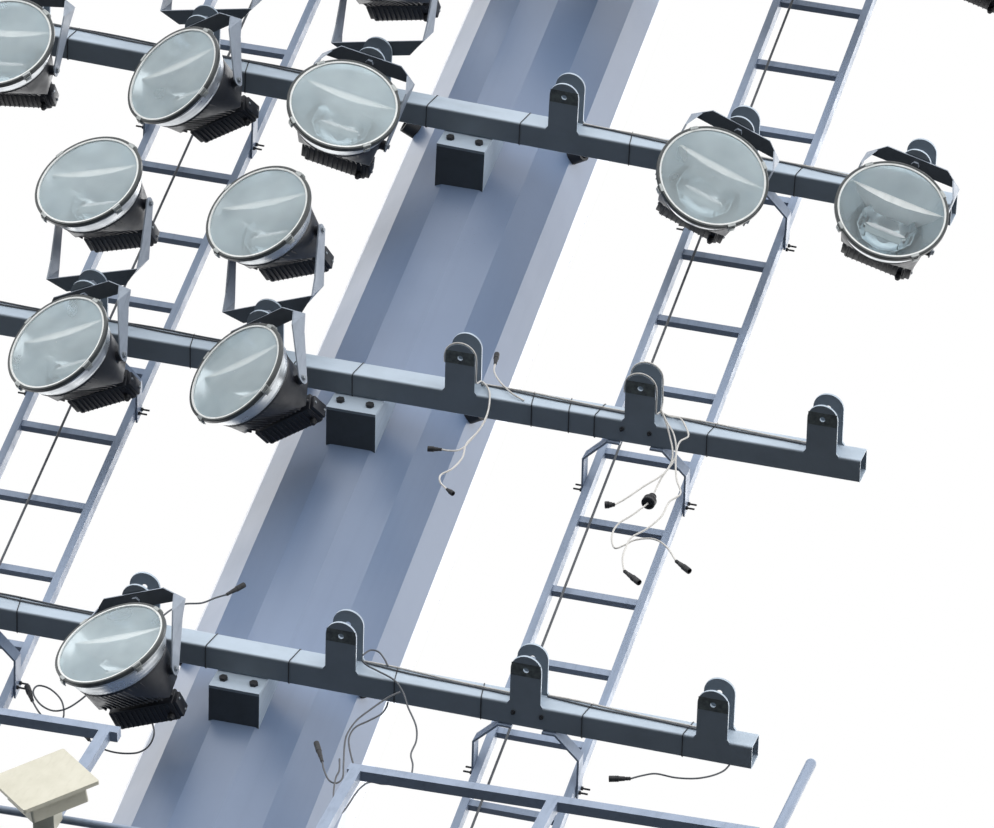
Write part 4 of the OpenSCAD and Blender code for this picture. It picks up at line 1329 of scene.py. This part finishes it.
@dataclass
class CrossarmTrim:
    """Small fixed things on the crossarms: ties, tied runs of cable, dark bands of painted shade under empty
    clevises, and white strands that paint the lit rims of ears as highlight and run on into leads.
    """

    occupied: set[str]
    tie_places: tuple[tuple[float, ...], ...] = (
        (-1.72, -1.36, -0.93, -0.64, -0.21, 0.13, 0.62, 0.88, 1.33, 1.71),
        (-1.69, -1.30, -0.95, -0.58, -0.17, 0.22, 0.66, 0.91, 1.36, 1.66),
        (-1.75, -1.33, -0.98, -0.70, -0.26, -0.02, 0.69, 0.84, 0.96, 1.41),
        (-1.70, -1.38, -0.91, -0.61, -0.14, 0.19, 0.59, 0.93, 1.34, 1.73))
    tie_slant: float = 0.16
    tie_radius: float = 0.0019
    tie_corner: float = 0.012
    run_radius: float = 0.0034
    run_steps: int = 8
    run_inset: float = 0.004
    run_wave: float = 0.006
    run_fall_left: float = 0.014
    run_fall_right: float = 0.030
    # Size of the bands of painted shade under empty clevises.
    mark_thickness: float = 0.0004
    mark_half: float = 0.028
    mark_reach: float = 0.057
    mark_hole: float = 0.0112
    # Clevis, ear height and spread of each white strand that paints the lit rim of an ear.
    rim_highlight_from: tuple[tuple[int, float, float], ...] = (
        (3, -0.045, 0.002), (4, -0.045, 0.004), (4, 0.045, 0.008))

    def tie(self, across: float, slant: float) -> Piece:
        """Models one tie round the crossarm's square tube.

        Args:
            across: Its place along the crossarm.
            slant: How far it leans along the crossarm for each metre of height.

        Returns:
            The tie.
        """
        flat = ARM_SIDE / 2 + self.tie_radius - self.tie_corner
        ring = []
        for quarter, (ahead, up) in enumerate(((1, 1), (-1, 1), (-1, -1), (1, -1))):
            for part in range(4):
                angle = math.radians(90 * quarter + 30 * part)
                y = ahead * flat + self.tie_corner * math.cos(angle)
                z = up * flat + self.tie_corner * math.sin(angle)
                ring.append(Vector((across + slant * z, y, z)))
        return Bench.dressed(Bench.strand("tie", ring, self.tie_radius, 1, closed=True), BLACK_FITTING)

    def runs(self, row: int) -> list[Piece]:
        """Models the tied runs of cable that lie along the tube between two clevises.

        Args:
            row: Their crossarm, counted from the top as 0.

        Returns:
            The runs.
        """
        runs = []
        front, top = -ARM_SIDE / 2 - 0.0040, ARM_SIDE / 2 - 0.010
        for column in (0, 1, 3, 4):
            on_right = column >= LEFT_CLEVISES
            fall = self.run_fall_right if on_right else self.run_fall_left
            start = clevis_across(row, column) + EAR_HALF + self.run_inset
            end = clevis_across(row, column + 1) - EAR_HALF - self.run_inset
            for strand, finish in enumerate((WHITE_LEAD_AND_RIM_HIGHLIGHT if on_right else GREY_LEAD, GREY_LEAD)):
                places = []
                for step in range(self.run_steps + 1):
                    share = step / self.run_steps
                    wave = self.run_wave * math.sin(7.0 * share + strand * 2.1 + row)
                    level = top - fall * share - wave * (1 - share) - 0.014 * strand
                    places.append(Vector((start + share * (end - start), front - 0.0002 * strand, level)))
                run = Bench.strand("run", smooth_route(places, 3), self.run_radius, 2)
                runs.append(Bench.dressed(run, finish))
        return runs

    def ear_shade_bands(self, row: int, column: int) -> list[Piece]:
        """Models the dark bands of painted shade under an empty clevis, round its pin hole.

        Args:
            row: Its crossarm, counted from the top as 0.
            column: The clevis, counted from the left as 0.

        Returns:
            The bands.
        """
        # Painted shade: flat dark bands laid under the clevis, either side of the pin hole.
        place = Vector((clevis_across(row, column), PIN_PLACE, -ARM_SIDE / 2 - self.mark_thickness))
        ear_shade_bands = []
        for side in (-1, 1):
            outline = [(0.0, -self.mark_half), (side * self.mark_reach, -self.mark_half),
                       (side * self.mark_reach, self.mark_half), (0.0, self.mark_half)]
            for step in range(7):
                angle = math.radians(90 - 30 * step)
                outline.append((side * self.mark_hole * math.cos(angle), self.mark_hole * math.sin(angle)))
            mark = Bench.plate("mark", outline, self.mark_thickness)
            mark.data.transform(Matrix.Translation(place))
            ear_shade_bands.append(Bench.dressed(mark, EAR_SHADE_PAINT))
        return ear_shade_bands

    def draped(self, row: int, column: int, level: float, spread: float) -> Piece:
        """Models a white strand that follows the rim round the tip of an ear as a painted highlight of its
        lit edge, and ends beside the ear where a real lead starts.

        Args:
            row: Its crossarm, counted from the top as 0.
            column: Its clevis, counted from the left as 0.
            level: Height of the ear's middle.
            spread: How far beside the ear it comes down.

        Returns:
            The strand.
        """
        # Painted highlight: the strand hugs the ear's rim round its tip, then runs back to meet a real lead's
        # start.
        across = clevis_across(row, column)
        reach = EAR_HALF + LEAD_WIDTH / 2 + 0.0003
        right = across + reach
        places = [Vector((across - reach, PIN_PLACE + 0.030, level))]
        for step in range(7):
            angle = math.radians(180 - 30 * step)
            ahead = PIN_PLACE - reach * math.sin(angle)
            places.append(Vector((across + reach * math.cos(angle), ahead, level)))
        places += [Vector((right, PIN_PLACE + 0.055, level)), Vector((right, -0.098, level + 0.006)),
                   Vector((right + spread / 2, -0.078, 0.012)), Vector((right + spread, -0.066, 0.026))]
        lead = Bench.strand("draped", smooth_route(places, 3), LEAD_WIDTH / 2, 3)
        return Bench.dressed(lead, WHITE_LEAD_AND_RIM_HIGHLIGHT)

    def build(self) -> None:
        """Models each crossarm's small things as one piece."""
        count = 0
        for row, places in enumerate(self.tie_places):
            parts = [self.tie(across, self.tie_slant * (-1) ** (index // 2))
                     for index, across in enumerate(places)]
            parts += self.runs(row)
            # Empty clevises get bands of painted shade underneath.
            for column in range(CLEVIS_COUNT):
                if row and f"{row + 1}_{column + 1}_low" not in self.occupied:
                    parts += self.ear_shade_bands(row, column)
            # Three ear rims on this row get a painted highlight as a white strand.
            if row == WHITE_ROW:
                parts += [self.draped(row, *rim_spot) for rim_spot in self.rim_highlight_from]
            trim = Bench.joined(f"crossarm_{row + 1}_trim", parts, 40)
            trim.data.transform(on_row(row))
            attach(trim, TOWER)
            count += len(parts)
        LOG.info("crossarm ties, runs, marks and draped leads: %d", count)


@dataclass
class BracketBolts:
    """Bolts that hold the ladders' stiles, and nuts under the crossarms at their brackets."""

    middles: tuple[float, float] = (-1.141, 1.117)
    halves: tuple[float, float] = (0.224, 0.200)
    ladder_back: float = 0.3
    stile_wall: float = 0.0093
    bolt_reach: float = 0.034
    bolt_lifts: tuple[float, float] = (-0.046, -0.014)
    bolt_back: float = 0.297
    nut_ahead: float = 0.012
    nut_spread: float = 0.055

    def bolt(self, across: float, side: int, lift: float) -> Piece:
        """Models one bolt that sticks outwards from a bracket's leg, with its nut.

        Args:
            across: Its place along the crossarm.
            side: 1 if it points to the right, or -1.
            lift: Its height over the crossarm's middle.

        Returns:
            The bolt.
        """
        outline = [(0.0085, 0.0), (0.0085, 0.007), (0.0075, 0.008), (0.0042, 0.008),
                   (0.0042, self.bolt_reach), (0.0030, self.bolt_reach + 0.0012)]
        return Bench.turned("bolt", outline, 6, Way.sideways(side), (across, self.bolt_back, lift))

    def nut(self, across: float) -> Piece:
        """Models one nut on a stud's end under the crossarm."""
        outline = [(0.0090, 0.0), (0.0090, -0.008), (0.0045, -0.009), (0.0045, -0.016)]
        return Bench.turned("nut", outline, 6, Way.UP, (across, -self.nut_ahead, -ARM_SIDE / 2))

    def build(self) -> None:
        """Models the bolts and nuts of all ladder brackets as one piece."""
        parts = []
        for row, degrees in enumerate(ROW_TURNS):
            turn = math.radians(degrees)
            made = []
            for middle, half in zip(self.middles, self.halves):
                across = middle * math.cos(turn) + self.ladder_back * math.sin(turn)
                for side in (-1, 1):
                    stile = across + side * (half + self.stile_wall)
                    made += [self.bolt(stile, side, lift) for lift in self.bolt_lifts]
                    made.append(self.nut(across + side * self.nut_spread))
            for part in made:
                part.data.transform(on_row(row))
                parts.append(Bench.dressed(part, BLACK_FITTING))
        bolts = Bench.joined("ladder_bracket_bolts", parts, 30)
        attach(bolts, TOWER)
        LOG.info("ladder bracket bolts and nuts: %d", len(parts))


@dataclass
class DeckGrating:
    """The platform's open grating, cut to the outline of the frame's plain deck."""

    deck: Piece
    bar_pitch: float = 0.034
    bar_width: float = 0.004
    rod_pitch: float = 0.076
    rod_width: float = 0.006
    rod_drop: float = 0.001
    border: float = 0.006
    length: float = 4.690
    depth: float = 2.400
    thickness: float = 0.040

    def outline(self) -> Piece:
        """Copies the plain deck and merges its loose triangles, to cut the bars with.

        Returns:
            The copy.
        """
        whole = Bench.copy(self.deck, "deck outline", Matrix.Identity(4))
        Bench.take(whole)
        Bench.open_up()
        bpy.ops.mesh.remove_doubles(threshold=SAME_PLACE)
        Bench.shut()
        return whole

    def build(self) -> None:
        """Models the bearing bars, the cross rods and the border."""
        whole = self.outline()
        middle_y = self.depth / 2
        middle_z = -self.thickness / 2
        count = int(self.length / self.bar_pitch)
        rods = int(self.depth / self.rod_pitch)
        first_bar = (-self.bar_pitch * (count - 1) / 2, middle_y, middle_z)
        first_rod = (0, (self.depth - self.rod_pitch * (rods - 1)) / 2, -self.rod_width / 2 - self.rod_drop)
        bar = Bench.block("bearing bars", (self.bar_width, self.depth, self.thickness), first_bar)
        rod = Bench.block("cross rods", (self.length, self.rod_width, self.rod_width), first_rod)
        place = deck_place()
        parts = []
        for grid in (Bench.repeated(bar, count, (self.bar_pitch, 0, 0)),
                     Bench.repeated(rod, rods, (0, self.rod_pitch, 0))):
            grid.data.transform(place)
            parts.append(Bench.cut(grid, whole, keep_inside=True))
        for side in (-1, 1):
            end = Bench.block("border", (self.border, self.depth, self.thickness),
                              (side * (self.length - self.border) / 2, middle_y, middle_z))
            edge = Bench.block("border", (self.length, self.border, self.thickness),
                               (0, middle_y + side * (self.depth - self.border) / 2, middle_z))
            for part in (end, edge):
                part.data.transform(place)
                parts.append(part)
        grating = Bench.joined("deck_grating", [Bench.dressed(part, GRATING) for part in parts], 30)
        bpy.data.objects.remove(whole)
        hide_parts("platform_deck")
        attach(grating, TOWER)
        LOG.info("deck grating: %d bars and %d rods", count, rods)


@dataclass
class BraceClamp:
    """The band round the mast with the two arms that the platform's braces end on."""

    station: float = 25.215
    band_height: float = 0.150
    band_wall: float = 0.010
    band_gap: float = 0.0006
    bite: float = 0.004
    arm_end: float = 0.600
    arm_size: tuple[float, float] = (0.050, 0.110)
    arm_middle: tuple[float, float] = (1.926, -1.230)
    web_size: tuple[float, float] = (0.012, 0.120)
    web_ahead: float = 0.014

    def mast_half(self, mast: Piece, station: float) -> float:
        """Gives half the mast's width across flats at a station, from its two ends' widths.

        Args:
            mast: One section of the mast.
            station: Distance up the mast's axis.

        Returns:
            Half the width, in metres.
        """
        spans = sorted((vertex.co.dot(MAST_RISE), abs(vertex.co.x)) for vertex in mast.data.vertices)
        low, high = spans[0][0], spans[-1][0]
        low_half = max(half for along, half in spans if along < low + 0.01)
        high_half = max(half for along, half in spans if along > high - 0.01)
        return low_half + (high_half - low_half) / (high - low) * (station - low)

    def band(self, mast: Piece) -> Piece:
        """Models the band, which follows the mast's taper.

        Args:
            mast: The mast's upper section.

        Returns:
            The band.
        """
        outline = []
        for lift, wall in ((-0.5, 0.0), (-0.5, 1.0), (0.5, 1.0), (0.5, 0.0), (-0.5, 0.0)):
            along = lift * self.band_height
            corner = self.mast_half(mast, self.station + along) / math.cos(math.pi / MAST_SIDES)
            outline.append((corner + self.band_gap + wall * self.band_wall, along))
        band = Bench.turned("band", outline, MAST_SIDES, filled=False)
        place = Matrix.Translation(on_mast(0.0, 0.0, self.station))
        band.data.transform(place @ MAST_TURN @ Matrix.Rotation(math.pi / MAST_SIDES, 4, "Z"))
        return band

    def build(self, mast: Piece) -> None:
        """Models the band, the arms and their webs.

        Args:
            mast: The mast's upper section, whose width the band follows.
        """
        parts = [self.band(mast)]
        inner = self.mast_half(mast, self.station) - self.bite
        length = self.arm_end - inner
        for side in (-1, 1):
            arm = Bench.block("arm", (length, *self.arm_size),
                              (side * (inner + length / 2), *self.arm_middle), 0.004)
            web = Bench.block("web", (*self.web_size, self.band_height),
                              (side * (inner + self.web_ahead), *self.arm_middle), 0.002, 1)
            for part in (arm, web):
                part.data.transform(deck_place())
                parts.append(part)
        clamp = Bench.joined("brace_clamp", [Bench.dressed(part, ARM_PAINT) for part in parts], 20)
        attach(clamp, TOWER)
        LOG.info("brace clamp: %d parts", len(parts))


@dataclass
class DoorHardware:
    """Hinges and locks of the mast's two service doors."""

    stations: tuple[float, float] = (1.000, 26.900)
    sides: tuple[int, int] = (1, -1)
    door_half: float = 0.250
    middle_lift: float = 0.45
    hinge_lifts: tuple[float, ...] = (-0.36, 0.0, 0.36)
    hinge_inset: float = 0.012
    hinge_stand: float = 0.002
    lock_lifts: tuple[float, ...] = (-0.24, 0.24)
    lock_inset: float = 0.045

    def build(self, faces: list[float]) -> None:
        """Models three hinges and two locks on each door.

        Args:
            faces: How far each door's outer face stands from the mast's axis.
        """
        parts = []
        barrel = [(0.009, -0.045), (0.011, -0.043), (0.011, 0.043), (0.009, 0.045)]
        button = [(0.018, 0.0), (0.018, 0.004), (0.013, 0.007), (0.006, 0.007)]
        for station, side, face in zip(self.stations, self.sides, faces):
            middle = station + self.middle_lift
            for lift in self.hinge_lifts:
                hinge = Bench.turned("hinge", barrel, 20)
                leaf = Bench.block("leaf", (0.050, 0.004, 0.080), (0.028, 0.0, 0.0), 0.0015, 1)
                ahead = side * (face + self.hinge_stand)
                place = on_mast(self.hinge_inset - self.door_half, ahead, middle + lift)
                for part in (hinge, leaf):
                    part.data.transform(Matrix.Translation(place) @ MAST_TURN)
                    parts.append(Bench.dressed(part, MAST_PAINT))
            away = spun(-90 * side, "X")
            for lift in self.lock_lifts:
                lock = Bench.turned("lock", button, 24)
                place = on_mast(self.door_half - self.lock_inset, side * face, middle + lift)
                lock.data.transform(Matrix.Translation(place) @ MAST_TURN @ away)
                parts.append(Bench.dressed(lock, ZINC))
        hardware = Bench.joined("door_hardware", parts, 30)
        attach(hardware, TOWER)
        LOG.info("door hinges and locks: %d", len(parts))


@dataclass
class Steelwork:
    """The frame's own nodes, which keep their shape."""

    nodes: dict[str, Piece]
    finishes: tuple[tuple[str, Finish], ...] = (
        ("base_flange", MAST_PAINT), ("mast", MAST_PAINT), ("service_doors", MAST_PAINT),
        ("crossarm", ARM_PAINT), ("platform_frame", ARM_PAINT), ("platform_deck", GRATING),
        ("ladder", LADDER_PAINT), ("railing", LADDER_PAINT), ("aerial_pole", LADDER_PAINT),
        ("stub_brackets", STUB_SHADE_PAINT), ("yoke", YOKE_PAINT), ("panel_aerial", SHELL),
        ("splice_bolts", BLACK_FITTING), ("cable_outlets", BLACK_FITTING), ("fall_arrest_cables", GREY_LEAD),
        ("", HOUSING_COAT))

    def finish(self, name: str) -> bpy.types.Material:
        """Gives the material of the first finish whose word a node's name starts with."""
        return next(finish.build() for start, finish in self.finishes if name.startswith(start))

    def dress(self) -> None:
        """Gives each node of the frame its finish."""
        for name, obj in self.nodes.items():
            for slot in obj.material_slots:
                slot.material = self.finish(name)
            if not obj.material_slots:
                obj.data.materials.append(self.finish(name))
        LOG.info("steelwork nodes: %d", len(self.nodes))

    def door_faces(self) -> list[float]:
        """Gives how far the lower and the upper service door stand from the mast's axis."""
        aheads = [vertex.co.dot(MAST_OUT) for vertex in self.nodes["service_doors"].data.vertices]
        return [max(aheads), -min(aheads)]


@dataclass
class Studio:
    """Camera, light and backdrop."""

    camera_place: Point = (8.44574561, -25.73233742, 1.93877026)
    azimuth: float = 24.82477
    rise: float = 55.42110
    roll: float = 30.47308
    lens: float = 309.5493
    sensor: float = 36.0
    sight: float = 400.0
    sky_light: float = 1.75
    sky_low: float = 0.02
    pitch_light: float = 1.9
    sun_energy: float = 0.55
    sun_width: float = 35.0
    sun_way: Point = (-0.25, -0.35, -1.0)
    floor_side: float = 120.0
    floor_drop: float = 0.002

    def camera(self) -> None:
        """Sets the camera low on the pitch, looking steeply up at the crossarms."""
        data = bpy.data.cameras.new("camera")
        data.lens = self.lens
        data.sensor_width = self.sensor
        data.clip_end = self.sight
        camera = bpy.data.objects.new("camera", data)
        bpy.context.scene.collection.objects.link(camera)
        azimuth, rise = math.radians(self.azimuth), math.radians(self.rise)
        level = math.cos(rise)
        ahead = Vector((-math.sin(azimuth) * level, math.cos(azimuth) * level, math.sin(rise)))
        turn = ahead.to_track_quat("-Z", "Y").to_matrix().to_4x4()
        camera.matrix_world = Matrix.Translation(self.camera_place) @ turn @ spun(self.roll, "Z")
        bpy.context.scene.camera = camera

    def world(self) -> None:
        """Lights everything from a white sky, with less from below, in front of a white backdrop."""
        world = bpy.data.worlds.new("overcast sky")
        bpy.context.scene.world = world
        world.use_nodes = True
        shader = Shader(world.node_tree)
        where = shader.node("ShaderNodeTexCoord")
        parts = shader.node("ShaderNodeSeparateXYZ", Vector=where.outputs["Generated"]).outputs
        sky = shader.ramp(parts["Z"], -0.30, 0.25, self.sky_low, self.sky_light, smooth=True)
        ahead = shader.ramp(parts["Y"], -0.15, -0.75, smooth=True)
        low = shader.ramp(parts["Z"], -0.60, -0.28, 0.0, self.pitch_light, smooth=True)
        around = shader.math("MAXIMUM", sky, shader.math("MULTIPLY", ahead, low))
        ray = shader.node("ShaderNodeLightPath").outputs
        seen = shader.math("MAXIMUM", ray["Is Camera Ray"], ray["Is Transmission Ray"])
        level = shader.node("ShaderNodeMix", {"data_type": "FLOAT"})
        for index, value in ((0, seen), (2, around), (3, 1.0)):
            shader.feed(level.inputs[index], value)
        back = world.node_tree.nodes["Background"]
        shader.feed(back.inputs["Strength"], level.outputs[0])
        shader.feed(back.inputs["Color"], (1.0, 1.0, 1.0, 1.0))

    def lamps(self) -> None:
        """Adds one broad soft sun from the upper right, as through thin cloud."""
        data = bpy.data.lights.new("soft sun", "SUN")
        data.energy = self.sun_energy
        data.angle = math.radians(self.sun_width)
        sun = bpy.data.objects.new("soft sun", data)
        bpy.context.scene.collection.objects.link(sun)
        sun.matrix_world = Vector(self.sun_way).to_track_quat("-Z", "Y").to_matrix().to_4x4()

    def floor(self) -> None:
        """Lays a plain pale floor under the base flange."""
        Bench.clear()
        bpy.ops.mesh.primitive_plane_add(size=self.floor_side, location=(0, 0, -self.floor_drop))
        floor = bpy.context.active_object
        floor.name = "floor"
        Bench.dressed(floor, PaleFloor())

    def build(self) -> None:
        """Sets up the light, the backdrop and the floor."""
        self.world()
        self.lamps()
        self.floor()
        bpy.context.scene.view_settings.view_transform = "Standard"


def main() -> None:
    """Builds the dressed pylon."""
    logging.basicConfig(level=logging.INFO, format="%(message)s")
    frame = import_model()
    Bench.clear()
    studio = Studio()
    studio.camera()
    hang_leads()
    steelwork = Steelwork(frame["nodes"])
    steelwork.dress()
    working = working_aims(frame["joints"])
    Heads(working + TopRow().aims()).build()
    CrossarmTrim({aim.name for aim in working}).build()
    BracketBolts().build()
    DeckGrating(frame["nodes"]["platform_deck"]).build()
    BraceClamp().build(frame["nodes"]["mast_upper"])
    DoorHardware().build(steelwork.door_faces())
    studio.build()


if __name__ == "__main__":
    main()
